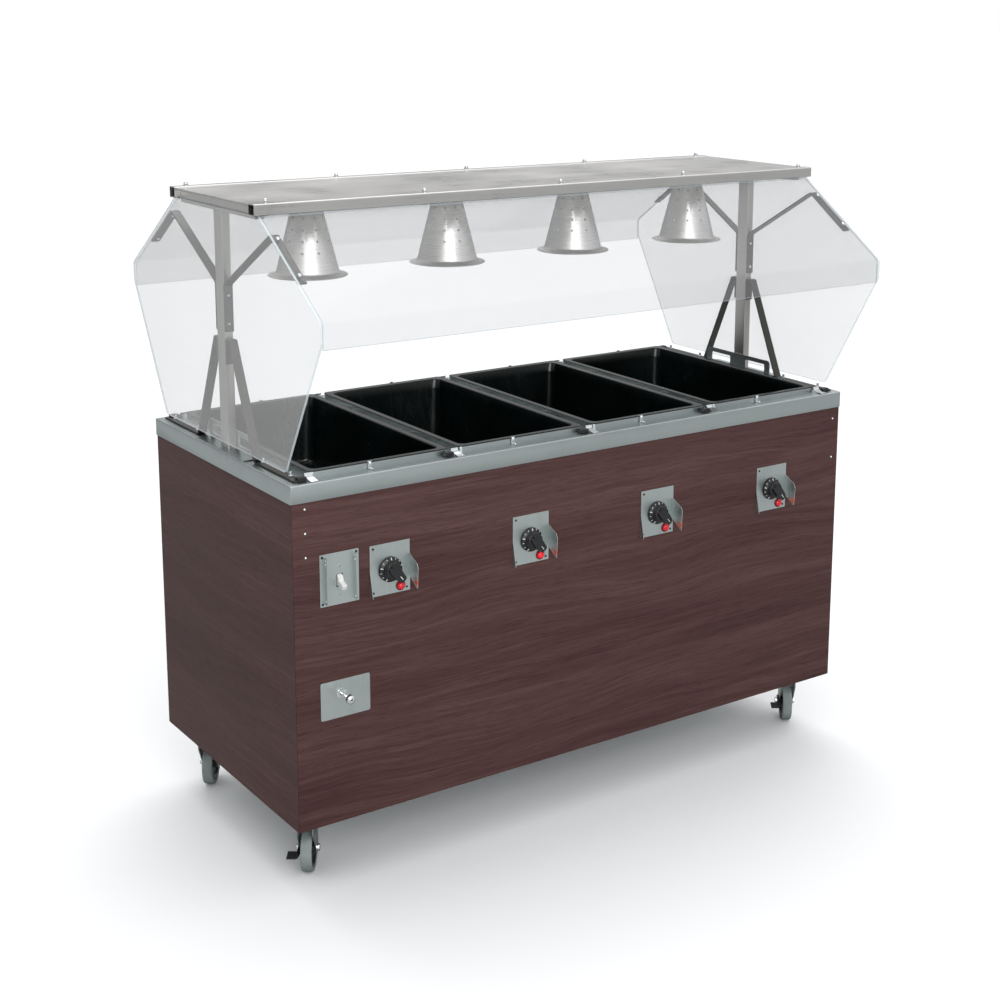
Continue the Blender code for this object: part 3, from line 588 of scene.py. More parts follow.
# ---- Countertop, wells and cabinet -----------------------------------
def rim_outline(x, inset, radius, steps):
    """Rounded outline of the well at x, drawn in by inset from the rim's outer edge."""
    return rounded(rectangle(RIM_HALF_X - inset, RIM_HALF_Y - inset, (x, 0.0)), radius, steps)


def at_height(outline, z):
    return [(x, y, z) for x, y in outline]


def counter_shell(bm):
    """Sheet with a turned-down edge and a rolled upper corner."""
    roll, edge, low = 0.003, 0.0004, TOP_LOW.z
    sections = [(SHEET, COUNTER_Z - SHEET), (SHEET, low + edge), (SHEET - edge, low), (edge, low)]
    sections.append((0.0, low + edge))
    for step in range(6):
        angle = math.pi / 2 * step / 5
        sections.append((roll * (1 - math.cos(angle)), COUNTER_Z - roll * (1 - math.sin(angle))))
    rings = []
    for inset, z in sections:
        outline = rounded(rectangle(HALF_X - inset, HALF_Y - inset), 0.0035 - inset * 0.6, 4)
        rings.append(at_height(outline, z))
    loft(bm, rings)


def well_openings(bm):
    for x in WELL_X:
        prism(bm, rim_outline(x, 0.011, 0.018, 6), "Z", COUNTER_Z - 0.01, COUNTER_Z + 0.02)


def well_collar(bm, x):
    """Raised ring of sheet, open below, with a soft upper edge."""
    top, foot = COUNTER_Z + STEP, COUNTER_Z - 0.0004
    outer, inner = 0.0015, 0.0110
    path = [(outer + COLLAR_SHEET, foot), (outer, foot), (outer, top), (inner, top)]
    path += [(inner, top - COLLAR_SHEET), (outer + COLLAR_SHEET, top - COLLAR_SHEET)]
    sections = rounded(path, [0, 0, 0.0014, 0, 0, 0], 4)
    rings = [at_height(rim_outline(x, inset, 0.0118 - inset * 0.3, 6), z) for inset, z in sections]
    loft(bm, rings, joined=True)


def build_countertop():
    mesh = cut(mesh_of(counter_shell), mesh_of(well_openings))
    piece("counter_sheet", mesh, STEEL_X, replaces=["countertop"], sharp=50)
    for number, x in enumerate(WELL_X, 1):
        piece(f"well_collar_{number}", mesh_of(well_collar, x), STEEL_X, sharp=50)
    for name, side in ENDS:
        places = [(side * (HALF_X - 0.0004), y * -side, COUNTER_Z - 0.013) for y in (-0.108, 0.121)]
        fasteners(f"trim_screws_{name}", flush_screw, places, (side, 0, 0), 0.0035)


def well_tub(bm, x):
    """Tub with a thick raised rim, rounded at every corner."""
    floor, seat = WELL_BOTTOM + TUB_FLOOR, COUNTER_Z + STEP + GAP
    path = [(0.0215, WELL_BOTTOM), (0.0120, seat), (0.0, seat), (0.0006, RIM_Z), (0.0160, RIM_Z)]
    path += [(0.0175, COUNTER_Z - 0.010), (0.0250, floor), (0.0600, floor)]
    radii = [0, 0.003, 0.0012, 0.0028, 0.0035, 0.020, 0.014, 0]
    rings = []
    for inset, z in rounded(path, radii, 5, closed=False):
        corner = 0.012 + 0.3 * inset if z > COUNTER_Z else 0.018 + 0.25 * inset
        rings.append(at_height(rim_outline(x, inset, corner, 7), z))
    loft(bm, rings)


def drain_bore(bm, x):
    bore = disc(DRAIN_RADIUS, WELL_BOTTOM - 0.01, WELL_BOTTOM + 0.02)
    lathe(bm, bore, (x, WELL_DRAIN_Y, 0.0), segments=24)


def drain_strainer(bm, x):
    """Flanged ring with crossed bars over the drain."""
    z = WELL_BOTTOM + TUB_FLOOR
    ring = [(0.0096, z - 0.006), (0.0096, z + 0.0003), (0.0165, z + 0.0003), (0.0160, z + 0.0012)]
    ring += [(0.0105, z + 0.0018), (0.0084, z - 0.006)]
    lathe(bm, ring, (x, WELL_DRAIN_Y, 0.0), segments=28)
    middle = Vector((x, WELL_DRAIN_Y, z + 0.0002))
    for turn in range(4):
        along = Vector((math.cos(turn * math.pi / 4), math.sin(turn * math.pi / 4), 0.0))
        across = Vector((-along.y, along.x, 0.0)) * 0.0007
        ends = [middle - along * DRAIN_RADIUS, middle + along * DRAIN_RADIUS]
        corners = [ends[0] - across, ends[0] + across, ends[1] + across, ends[1] - across]
        loft(bm, [[corner + Vector((0, 0, rise)) for corner in corners] for rise in (0.0, 0.0011)])


def build_wells():
    for number, x in enumerate(WELL_X, 1):
        mesh = cut(mesh_of(well_tub, x), mesh_of(drain_bore, x))
        piece(f"tub_{number}", mesh, THERMOSET, replaces=[f"well_{number}"], sharp=45)
        piece(f"drain_strainer_{number}", mesh_of(drain_strainer, x), CHROME)


def build_rim_hardware():
    """Folded clips at the corners of the wells, small brackets between them, and spacers."""
    counter, ledge = COUNTER_Z + GAP, COUNTER_Z + STEP
    edge = RIM_HALF_Y + 0.0010
    middles = [(left + right) / 2 for left, right in zip(WELL_X, WELL_X[1:])]
    ends = WELL_X[-1] + RIM_HALF_X + 0.002
    clip_x = [-ends, *middles, ends]
    for name, side in FACES:
        bm = bmesh.new()
        for x in clip_x:
            path = [(edge, ledge + 0.001), (edge + 0.003, counter + 0.006)]
            path.append((edge + 0.0290, counter + 0.0009))
            bent_strip(bm, path, 0.004, -0.0006, 0.0006, (x - 0.0085, x + 0.0085), side)
        piece(f"rim_clips_{name}", bm, CHROME, bevel=0.0003)
        bm = bmesh.new()
        for x in clip_x:
            low = x - 0.030 if x < 0.5 else x + 0.010
            ys = sorted((side * (edge + 0.0005), side * (edge + 0.016)))
            box(bm, (low, ys[0], counter), (low + 0.020, ys[1], counter + 0.009))
        piece(f"clip_pads_{name}", bm, BLACK, bevel=0.0015)
        bm = bmesh.new()
        for x in WELL_X:
            x += 0.027 * side
            foot = counter + 0.0008
            path = [(edge, ledge + 0.004), (edge, foot), (edge + 0.0150, foot)]
            bent_strip(bm, path, 0.0015, -0.0005, 0.0005, (x - 0.0045, x + 0.0045), side)
            button_screw(bm, (x, side * (edge + 0.0007), ledge), (0, side, 0), 0.0042)
            button_screw(bm, (x, side * (edge + 0.0095), counter + 0.0015), (0, 0, 1), 0.0030)
        piece(f"rim_brackets_{name}", bm, CHROME, bevel=0.0002)
    bm = bmesh.new()
    half = (WELL_X[1] - WELL_X[0]) / 2 - RIM_HALF_X - 0.0006
    for x in middles:
        for y in (-0.145, 0.145):
            box(bm, (x - half, y - 0.012, ledge + 0.0005), (x + half, y + 0.012, RIM_Z - 0.003))
            box(bm, (x - 0.006, y - 0.004, RIM_Z - 0.0035), (x + 0.006, y + 0.004, RIM_Z - 0.0005))
    piece("rim_spacers", bm, BLACK, bevel=0.0008)


def build_cabinet():
    panels = {"front": WOOD_X, "rear": WOOD_X, "left_end": WOOD_Y, "right_end": WOOD_Y}
    for name, material in panels.items():
        refinish(f"{name}_panel", material, 0.0006)
    columns = [(-0.730, z) for z in (0.848, 0.797, 0.746)] + [(0.739, z) for z in (0.834, 0.735)]
    for name, side in FACES:
        places = [(-side * x, side * abs(PANEL_FACE), z) for x, z in columns]
        fasteners(f"panel_screws_{name}", button_screw, places, (0, side, 0), 0.0030)


def refinish(node, material, bevel=0.0):
    """Gives a CAD node a better material and, if asked, softened edges."""
    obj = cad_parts[node]
    obj.data.materials.clear()
    obj.data.materials.append(material)
    if bevel:
        weld = obj.modifiers.new("weld", "WELD")
        weld.merge_threshold = 0.00001
        add_bevel(obj, bevel)


def build_inner_pieces():
    refinish("bottom_pan", STEEL_X, 0.0004)
    refinish("control_box", STEEL_X, 0.0003)
    refinish("lamp_raceway", SHELF_STEEL, 0.0004)
    refinish("drain_manifold", BRASS)
    refinish("power_inlet", BLACK)
    for number in (1, 2, 3, 4):
        refinish(f"heater_{number}", ZINC, 0.0008)


# ---- Controls --------------------------------------------------------
def knob_profile():
    path = [(0.0, -0.031), (0.003, -0.031), (0.003, 0.0025), (DIAL_EDGE[0], 0.0025)]
    path += [DIAL_EDGE, DIAL_NECK, (0.0188, 0.0200), (0.0, 0.0222)]
    return rounded(path, [0, 0.0004, 0.0004, 0.0008, 0.0010, 0.0012, 0.0030, 0], 4, closed=False)


def dial_ticks(bm, seat):
    """Raised ticks on the dial's sloped skirt, every third one longer and wider."""
    slope = (DIAL_NECK[1] - DIAL_EDGE[1]) / (DIAL_EDGE[0] - DIAL_NECK[0])
    ticks, outer = 13, 0.0262
    for tick in range(ticks):
        spoke = Matrix.Rotation(math.radians(-150 + 300 * tick / (ticks - 1)), 3, "Y")
        inner, half = (0.0212, 0.0009) if tick % 3 == 0 else (0.0232, 0.0005)
        rings = []
        for lift in (0.0002, -0.0004):
            points = []
            for radius, across in ((inner, -half), (inner, half), (outer, half), (outer, -half)):
                out = DIAL_EDGE[1] + (DIAL_EDGE[0] - radius) * slope + lift
                points.append(seat + spoke @ Vector((across, -out, radius)))
            rings.append(points)
        loft(bm, rings)


def build_knob(number, x):
    """Dial skirt with a tapered grip across it, turned as the knob stands, and its marks."""
    body = f"thermostat_knob_{number}"
    turn = Matrix.Rotation(math.radians(-40), 3, "Y")
    seat = Vector((x, PLATE_FACE, CONTROL_Z))
    bm = bmesh.new()
    lathe(bm, knob_profile(), seat, (0, -1, 0), 48)
    grip = [(-0.0070, -0.0265), (0.0070, -0.0265), (0.0098, -0.006)]
    grip += [(0.0092, 0.0150), (-0.0092, 0.0150), (-0.0098, -0.006)]
    rings = []
    for out, swell in ((0.0075, 0.0010), (0.0200, 0.0004), (0.0280, 0.0), (0.0300, 0.0012)):
        grown = [(a + math.copysign(swell, a), b + math.copysign(swell, b)) for a, b in grip]
        outline = rounded(grown, [0.005, 0.005, 0.012, 0.006, 0.006, 0.012], 5)
        rings.append([seat + turn @ Vector((a, -out, b)) for a, b in outline])
    loft(bm, rings)
    piece(f"knob_{number}", bm, BLACK, body, [body])

    bm = bmesh.new()
    dial_ticks(bm, seat)
    outline = rectangle(0.0006, 0.0050, (0.0, -0.0175))
    pointer = [seat + turn @ Vector((a, -0.0302, b)) for a, b in outline]
    loft(bm, [pointer, [point + Vector((0, 0.0008, 0)) for point in pointer]])
    piece(f"dial_marks_{number}", bm, WHITE, body)


def build_controls():
    dark_screws, pilots = [], []
    for number, x in enumerate(WELL_X, 1):
        refinish(f"control_plate_{number}", PLATE_STEEL, 0.0003)
        build_knob(number, x)
        low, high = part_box(f"control_plate_{number}")
        left, right, bottom, top = low.x + 0.008, high.x - 0.008, low.z + 0.008, high.z - 0.008
        dark_screws += [(a, PLATE_FACE, z) for a, z in ((left, bottom), (left, top), (right, bottom))]
        pilots.append((x + 0.025, PLATE_FACE, CONTROL_Z - 0.040))
        # Orange-red patch at the wing's tip: painted reflection of the pilot light beside it.
        edge, tip = high.x - 0.0008, low.y + 0.0028
        outline = [(tip - 0.0018, -0.026), (tip + 0.0012, -0.0425), (tip + 0.0105, -0.028)]
        outline = [(y, CONTROL_Z + z) for y, z in outline]
        bm = bmesh.new()
        prism(bm, rounded(outline, 0.0014, 3), "X", edge - 0.0011, edge + 0.0009)
        piece(f"wing_red_reflection_{number}", bm, RED_PAINTED_REFLECTION)
    fasteners("control_plate_screws", button_screw, dark_screws, (0, -1, 0), 0.0026, BLACK)

    lens = dome(PILOT_RADIUS, 0.0018, 0.0062, (0.0, 0.3, 0.6, 0.9, 1.2, 1.4))
    lens = [(0.0, 0.0), (PILOT_RADIUS, 0.0), *lens, (0.0, 0.0080)]
    bezel = [(0.0094, 0.0001), (0.0112, 0.0001), (0.0110, 0.0014), (0.0102, 0.0020), (0.0094, 0.0016)]
    for name, profile, material in (("pilot_lights", lens, RED_LENS), ("pilot_bezels", bezel, BLACK)):
        bm = bmesh.new()
        for place in pilots:
            lathe(bm, profile, place, (0, -1, 0), 28)
        piece(name, bm, material)


def build_switch():
    refinish("switch_plate", PLATE_STEEL, 0.0003)
    low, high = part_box("switch_plate")
    centre_x = (low.x + high.x) / 2
    bm = bmesh.new()
    pivot = Vector((PANEL_FACE + 0.004, CONTROL_Z))
    tilt = Matrix.Rotation(SWITCH_TILT, 2)
    profile = [(0.005, 0.0045), (-0.010, 0.0050), (-0.028, 0.0066), (-0.030, 0.0040)]
    radii = [0.001, 0.010, 0.0025, 0.0015]
    outline = rounded(mirrored(profile), radii + radii[::-1], 4)
    turned = [pivot + tilt @ Vector(point) for point in outline]
    prism(bm, turned, "X", centre_x - 0.0056, centre_x + 0.0056)
    lathe(bm, disc(SWITCH_DRUM, -0.0058, 0.0058), (centre_x, pivot.x, pivot.y), (1, 0, 0), 48)
    piece("switch_lever", bm, WHITE, "power_switch", ["power_switch"], bevel=0.0012)

    outline = rounded(rectangle(0.0114, 0.0192, (centre_x, CONTROL_Z)), 0.0015, 3)
    housing = mesh_of(prism, outline, "Y", PANEL_FACE + 0.0003, PANEL_FACE + 0.0172)
    slot = rounded(rectangle(0.0066, 0.0139, (centre_x, CONTROL_Z)), 0.001, 3)
    tool = mesh_of(prism, slot, "Y", PANEL_FACE - 0.01, PANEL_FACE + 0.02)
    piece("switch_housing", cut(housing, tool), BLACK, sharp=30)

    heights = (low.z + 0.006, high.z - 0.006)
    corners = [(x, PLATE_FACE, z) for x in (low.x + 0.0055, high.x - 0.0055) for z in heights]
    fasteners("switch_plate_screws", button_screw, corners, (0, -1, 0), 0.0028, BLACK)
    middles = [(centre_x, PLATE_FACE, CONTROL_Z + side * 0.030) for side in (-1, 1)]
    fasteners("switch_screws", flush_screw, middles, (0, -1, 0), 0.0028, ZINC)
    heights = (low.z + 0.012, high.z - 0.020, high.z - 0.012)
    for name, side in ENDS:
        places = [(centre_x + side * SWITCH_FLANGE - 0.001, PLATE_FACE - 0.006, z) for z in heights]
        fasteners(f"switch_rivets_{name}", button_screw, places, (-1, 0, 0), 0.0020)


def build_drain_controls():
    refinish("drain_plate", PLATE_STEEL, 0.0003)
    low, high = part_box("drain_knob")
    centre = Vector(((low.x + high.x) / 2, PANEL_FACE - GAP, (low.z + high.z) / 2))
    out = (0, -1, 0)
    path = [(0.0, -0.041), (0.004, -0.041), (0.004, 0.0260), (0.0088, 0.0300), (0.0106, 0.0360)]
    path += [(0.0094, 0.0430), (0.0050, 0.0453), (0.0022, 0.0453), (0.0020, 0.0430), (0.0, 0.0430)]
    radii = [0, 0.0003, 0.004, 0.003, 0.003, 0.003, 0.001, 0.0002, 0.0002, 0]
    knob = rounded(path, radii, 5, closed=False)
    rides = {"body": "drain_knob"}
    turned_piece("drain_valve_knob", knob, centre, out, 40, CHROME, replaces=["drain_knob"], **rides)
    screw = [(0.0, 0.0432), (0.0019, 0.0432), (0.0017, 0.0440), (0.0, 0.0442)]
    turned_piece("drain_knob_screw", screw, centre, out, 16, BLACK, **rides)
    ring = [(0.0046, 0.0015), (0.0125, 0.0015), (0.0120, 0.0030), (0.0070, 0.0045), (0.0046, 0.0045)]
    turned_piece("drain_collar", ring, centre, out, 32, CHROME)


# ---- Overshelf, lamps and guard --------------------------------------
def hollow_rail(bm, side):
    """Square tube with rounded corners and open ends."""
    centre = (side * (SHELF_HALF_Y - RAIL_DEPTH / 2), RAIL_TOP - RAIL_HEIGHT / 2)
    outer = rounded(rectangle(RAIL_DEPTH / 2, RAIL_HEIGHT / 2, centre), 0.0028, 4)
    inner = rounded(rectangle(RAIL_DEPTH / 2 - SHEET, RAIL_HEIGHT / 2 - SHEET, centre), 0.0010, 4)
    rims = ((-SHELF_HALF_X, inner), (-SHELF_HALF_X, outer), (SHELF_HALF_X, outer), (SHELF_HALF_X, inner))
    loft(bm, [[(x, y, z) for y, z in outline] for x, outline in rims], joined=True)


def build_overshelf():
    rail_y = SHELF_HALF_Y - RAIL_DEPTH / 2
    sheet_half = SHELF_HALF_Y - RAIL_DEPTH - 0.0002
    sheet_top = RAIL_TOP - 0.0015
    bm = bmesh.new()
    box(bm, (-SHELF_HALF_X, -sheet_half, sheet_top - 0.0025), (SHELF_HALF_X, sheet_half, sheet_top))
    for side in (-1, 1):
        lip = sorted((side * SHELF_HALF_X, side * (SHELF_HALF_X - 0.0015)))
        box(bm, (lip[0], -sheet_half, sheet_top - 0.0055), (lip[1], sheet_half, sheet_top - 0.0026))
    piece("shelf_sheet", bm, SHELF_STEEL, replaces=["overshelf"], bevel=0.0005)
    for name, side in FACES:
        piece(f"shelf_rail_{name}", mesh_of(hollow_rail, side), SHELF_STEEL, sharp=60)
        y = side * rail_y
        tops = [(x, y, RAIL_TOP) for x in NUT_X]
        fasteners(f"shelf_nuts_{name}", acorn_nut, tops, (0, 0, 1), 0.0056)
        ends = [(x, y, RAIL_TOP - RAIL_HEIGHT) for x in NUT_X]
        fasteners(f"shelf_bolts_{name}", hex_bolt, ends, (0, 0, -1), 0.0048)


def shade_wall(bm):
    """Spun cone with a flared, rolled brim, centred on the Z axis."""
    top = RACEWAY_Z - GAP
    brim, low = BRIM_RADIUS, BRIM_Z
    neck, cone = SHADE_TOP_RADIUS, SHADE_CONE_RADIUS
    outer = [(0.0, top), (neck, top), (cone, low + 0.0085), (cone + 0.0060, low + 0.0030)]
    outer.append((brim - 0.0010, low + 0.0022))
    outer = rounded(outer, [0, 0.0040, 0.008, 0.005, 0], 5, closed=False)
    bead = 0.0011
    roll = [(brim - bead + a, b) for a, b in dome(bead, low + bead, bead, (1.0, 0.2, -0.6, -1.4))]
    inner = [(brim - 0.0022, low + 0.0008), (cone + 0.0052, low + 0.0016), (cone - 0.0010, low + 0.0070)]
    inner += [(neck - 0.0012, top - 0.0012), (0.0, top - 0.0012)]
    inner = rounded(inner, [0, 0.005, 0.008, 0.003, 0], 5, closed=False)
    lathe(bm, outer + roll + inner, segments=72)


def shade_holes(bm):
    """Ten upright columns of four vent holes."""
    top_z, low_z = RACEWAY_Z - 0.028, RACEWAY_Z - 0.102
    for column in range(10):
        angle = math.pi / 5 * column + math.radians(16)
        for row in range(4):
            z = top_z + (low_z - top_z) * row / 3
            share = (RACEWAY_Z - z) / (RACEWAY_Z - BRIM_Z - 0.0085)
            radius = SHADE_TOP_RADIUS + (SHADE_CONE_RADIUS - SHADE_TOP_RADIUS) * share
            outward = Vector((math.cos(angle), math.sin(angle), 0.0))
            start = outward * (radius - 0.008) + Vector((0, 0, z))
            lathe(bm, disc(0.0026, 0.0, 0.016), start, outward, 10)


def build_lamps():
    shade = cut(mesh_of(shade_wall), mesh_of(shade_holes))
    top = RACEWAY_Z - GAP - 0.0014
    socket = [(0.0, 0.0), (0.021, 0.0), (0.021, -0.010), (0.0185, -0.014), (0.0185, -0.042)]
    socket += [(0.0150, -0.046), (0.0, -0.046)]
    bulb = [(0.0, -0.044), (0.0130, -0.044), (0.0130, -0.058), (0.0160, -0.066), (0.0275, -0.090)]
    bulb += [(0.0300, -0.102), *dome(0.0300, -0.102, -0.020, (0.35, 0.7, 1.05, 1.35)), (0.0, -0.122)]
    for number, x in enumerate(WELL_X, 1):
        mesh = shade.copy()
        mesh.transform(Matrix.Translation((x, 0.0, 0.0)))
        piece(f"heat_shade_{number}", mesh, SPUN, replaces=[f"lamp_shade_{number}"], sharp=40)
        turned_piece(f"lamp_socket_{number}", socket, (x, 0.0, top), (0, 0, 1), 28, CERAMIC)
        turned_piece(f"heat_bulb_{number}", bulb, (x, 0.0, top - 0.0002), (0, 0, 1), 32, BULB_GLASS)


def post_tube(bm, centre, top):
    half_x, half_y = POST_HALF
    outer = rounded(rectangle(half_x, half_y, (centre, 0.0)), 0.0026, 4)
    inner = rounded(rectangle(half_x - POST_WALL, half_y - POST_WALL, (centre, 0.0)), 0.0012, 4)
    foot = COUNTER_Z + GAP + 0.0026
    rims = ((foot, inner), (foot, outer), (top, outer), (top, inner))
    loft(bm, [at_height(outline, z) for z, outline in rims], joined=True)


def foot_plate(bm, inner_x, side):
    """Upright plate behind the post, with its foot flange turned out to the counter's end."""
    foot = COUNTER_Z + GAP
    plate_x = inner_x - side * 0.0012
    path = [(plate_x, foot + 0.042), (plate_x, foot + 0.0013), (inner_x + side * 0.0350, foot + 0.0013)]
    outline = thick_path(rounded(path, 0.003, 4, closed=False), -0.0012, 0.0012)
    prism(bm, outline, "Y", -FOOT_HALF, FOOT_HALF)


def foot_windows(bm, inner_x):
    """Cutters for the two windows and the two upper corners of a foot plate."""
    foot = COUNTER_Z + GAP
    start, end = FOOT_WINDOW
    depth = (inner_x - 0.01, inner_x + 0.01)
    for side in (-1, 1):
        centre = (side * (start + end) / 2, foot + 0.0205)
        prism(bm, rounded(rectangle((end - start) / 2, 0.0105, centre), 0.003, 4), "X", *depth)
        edge, top = side * (FOOT_HALF + 0.01), foot + 0.058
        prism(bm, [(edge, foot + 0.026), (edge, top), (side * (FOOT_HALF - 0.022), top)], "X", *depth)


def build_posts():
    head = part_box("post_left")[1]
    for name, side in ENDS:
        centre = side * POST_X
        tube = mesh_of(post_tube, centre, RACEWAY_Z - GAP)
        piece(f"guard_post_{name}", tube, STEEL_Z, replaces=[f"post_{name}"], sharp=60)
        inner_x = centre - side * (POST_HALF[0] + 0.0004)
        plate = cut(mesh_of(foot_plate, inner_x, side), mesh_of(foot_windows, inner_x))
        piece(f"post_foot_{name}", plate, STEEL_Y, bevel=0.0004)
        left, right = centre - POST_HALF[0], centre + POST_HALF[0]
        outline = [(left, head.z), (left, RACEWAY_Z), (right, RACEWAY_Z), (right, head.z)]
        bend = rounded(offset_path(outline, -POST_WALL / 2), 0.0022, 4, closed=False)
        bm = bmesh.new()
        prism(bm, thick_path(bend, -POST_WALL / 2, POST_WALL / 2), "Y", -head.y, head.y)
        piece(f"shelf_channel_{name}", bm, SHELF_STEEL, sharp=50)


def arm_path():
    leg_y = POST_HALF[1] + GAP + STRIP / 2
    slope = (GUARD_WIDE - GUARD_TOP).normalized()
    inward = Vector((slope.y, -slope.x))
    flange_start = GUARD_TOP + slope * 0.051 + inward * (ACRYLIC + GAP + STRIP / 2)
    flange = [tuple(flange_start), tuple(flange_start + slope * 0.145)]
    return [(leg_y, 1.160), (leg_y, 1.262), *flange], slope


def brace_path():
    leg_y = POST_HALF[1] + GAP + STRIP / 2
    foot_z = COUNTER_Z + GAP + STRIP / 2
    return [(leg_y, 1.090), (leg_y, 1.143), (leg_y + 0.015, 1.143), (0.142, foot_z), (0.325, foot_z)]


def build_guard_strips():
    """Arms and braces of bent strip, with their screws and bolts, at both faces of both posts."""
    half = STRIP / 2
    arm, slope = arm_path()
    out = Vector((-slope.y, slope.x))
    foot_z = COUNTER_Z + GAP + STRIP
    strips = (("arm", arm, [0, 0.010, 0.007, 0]), ("brace", brace_path(), [0, 0.0025, 0.0025, 0.012, 0]))
    for end, x_side in ENDS:
        centre = x_side * POST_X
        x_range = (centre - POST_HALF[0], centre + POST_HALF[0])
        for face, y_side in FACES:
            for kind, path, radii in strips:
                bm = bmesh.new()
                bent_strip(bm, path, radii, -half, half, x_range, y_side)
                node = f"guard_{kind}_{end}_{face}"
                piece(f"{kind}_strip_{end}_{face}", bm, STRIP_STEEL_SHADED, replaces=[node], bevel=0.0006)
            leg_face = y_side * (POST_HALF[1] + GAP + STRIP)
            places = [(centre, leg_face, z) for z in (1.238, 1.177)]
            fasteners(f"post_screws_{end}_{face}", button_screw, places, (0, y_side, 0), 0.0042)
            places = [(centre - x_side * 0.002, y_side * y, foot_z) for y in (0.165, 0.290)]
            shank = [(0.0, 0.003), (0.0032, 0.003), (0.0030, 0.0105), (0.0, 0.0112)]
            bm = bmesh.new()
            for place in places:
                hex_bolt(bm, place, (0, 0, 1), 0.0058)
                lathe(bm, shank, place, segments=14)
            piece(f"foot_bolts_{end}_{face}", bm, CHROME)
            bm = bmesh.new()
            for distance in (0.018, 0.127):
                spot = Vector(arm[2]) + slope * distance + out * (ACRYLIC + GAP + half)
                place = (centre, y_side * spot.x, spot.y)
                button_screw(bm, place, (0, y_side * out.x, out.y), 0.0048)
                spot = Vector(arm[2]) + slope * distance - out * half
                hex_bolt(bm, (centre, y_side * spot.x, spot.y), (0, -y_side * out.x, -out.y), 0.0046)
            piece(f"guard_screws_{end}_{face}", bm, CHROME)


def mark_edges(obj, is_edge):
    """Gives the narrow faces of a clear sheet the brighter edge material, a painted highlight."""
    obj.data.materials.append(ACRYLIC_EDGE_HIGHLIGHT)
    for face in obj.data.polygons:
        if is_edge(face):
            face.material_index = 1


def build_guard_sheets():
    profile = [GUARD_TOP, GUARD_WIDE, GUARD_WIDE_LOW, GUARD_FOOT]
    corners = [tuple(point) for point in profile] + [(-point.x, point.y) for point in reversed(profile)]
    radii = [0.004, 0.012, 0.012, 0.010]
    outline = rounded(corners, radii + radii[::-1], 6)
    for name, side in ENDS:
        node = f"end_guard_{name}"
        low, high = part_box(node)
        bm = bmesh.new()
        prism(bm, outline, "X", low.x, high.x)
        sheet = piece(f"end_sheet_{name}", bm, ACRYLIC_UPRIGHT, replaces=[node], sharp=30)
        mark_edges(sheet, lambda face: abs(face.normal.x) < 0.5)
    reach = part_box("front_guard")[1].x
    path = [tuple(GUARD_TOP), tuple(GUARD_WIDE), (GUARD_WIDE.x, GUARD_LIP_Z)]
    edge_area = 2 * reach * ACRYLIC
    for name, side in FACES:
        bm = bmesh.new()
        bent_strip(bm, path, 0.012, -ACRYLIC, 0.0, (-reach, reach), side)
        node = f"{name}_guard"
        sheet = piece(f"{name}_sheet", bm, ACRYLIC_SLOPED_SHADED, replaces=[node], sharp=30)
        mark_edges(sheet, lambda face: abs(face.normal.x) > 0.5 or abs(face.area / edge_area - 1) < 0.04)


# ---- Casters ---------------------------------------------------------
def to_caster(points, place):
    """Moves local (forward, sideways, up) points to a caster that stands at place."""
    placed = Matrix.Translation(place) @ Matrix.Rotation(CASTER_HEADING, 4, "Z")
    return [placed @ Vector(point) for point in points]


def caster_plate(bm, outline, sides, place):
    loft(bm, [to_caster([(a, side, b) for a, b in outline], place) for side in sides])


def caster_turned(bm, profile, place, segments):
    """Turns a profile about the wheel's axle."""
    start, tip = to_caster([(AXLE[0], 0, AXLE[1]), (AXLE[0], 1, AXLE[1])], place)
    lathe(bm, profile, start, tip - start, segments)


def from_axle(*points):
    return [(AXLE[0] + a, AXLE[1] + b) for a, b in points]


def build_fork(corner, place):
    body = f"caster_fork_{corner}"
    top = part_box(body)[1].z
    race = [(0.0, 0.1262), (0.0240, 0.1262), (0.0285, 0.1290), (0.0300, 0.1330), (0.0300, 0.1370)]
    race += [(0.0275, 0.1395), (0.0275, 0.1410), (0.0300, 0.1440), (0.0290, top), (0.0, top)]
    race = rounded(race, [0, 0.002, 0.002, 0.002, 0.002, 0.0005, 0.0005, 0.002, 0.001, 0], 3, closed=False)
    turned_piece(f"swivel_race_{corner}", race, place, (0, 0, 1), 40, ZINC, body=body)
    leg = from_axle((-0.0130, 0.0), (-0.0100, -0.0110), (0.0100, -0.0110), (0.0130, 0.0))
    leg = [(-0.026, 0.1275), (-0.024, 0.106), *leg, (0.036, 0.108), (0.032, 0.1275)]
    leg = rounded(leg, [0.002, 0.012, 0.010, 0.0085, 0.0085, 0.010, 0.014, 0.002], 5)
    bm = bmesh.new()
    for side in (1, -1):
        caster_plate(bm, leg, sorted(side * face for face in FORK_SIDE), place)
    bridge = [(-0.0255, 0.1236), (0.0315, 0.1236), (0.0315, 0.1262), (-0.0255, 0.1262)]
    caster_plate(bm, bridge, (-0.0182, 0.0182), place)
    piece(f"caster_yoke_{corner}", bm, ZINC, body, [body], bevel=0.0008)


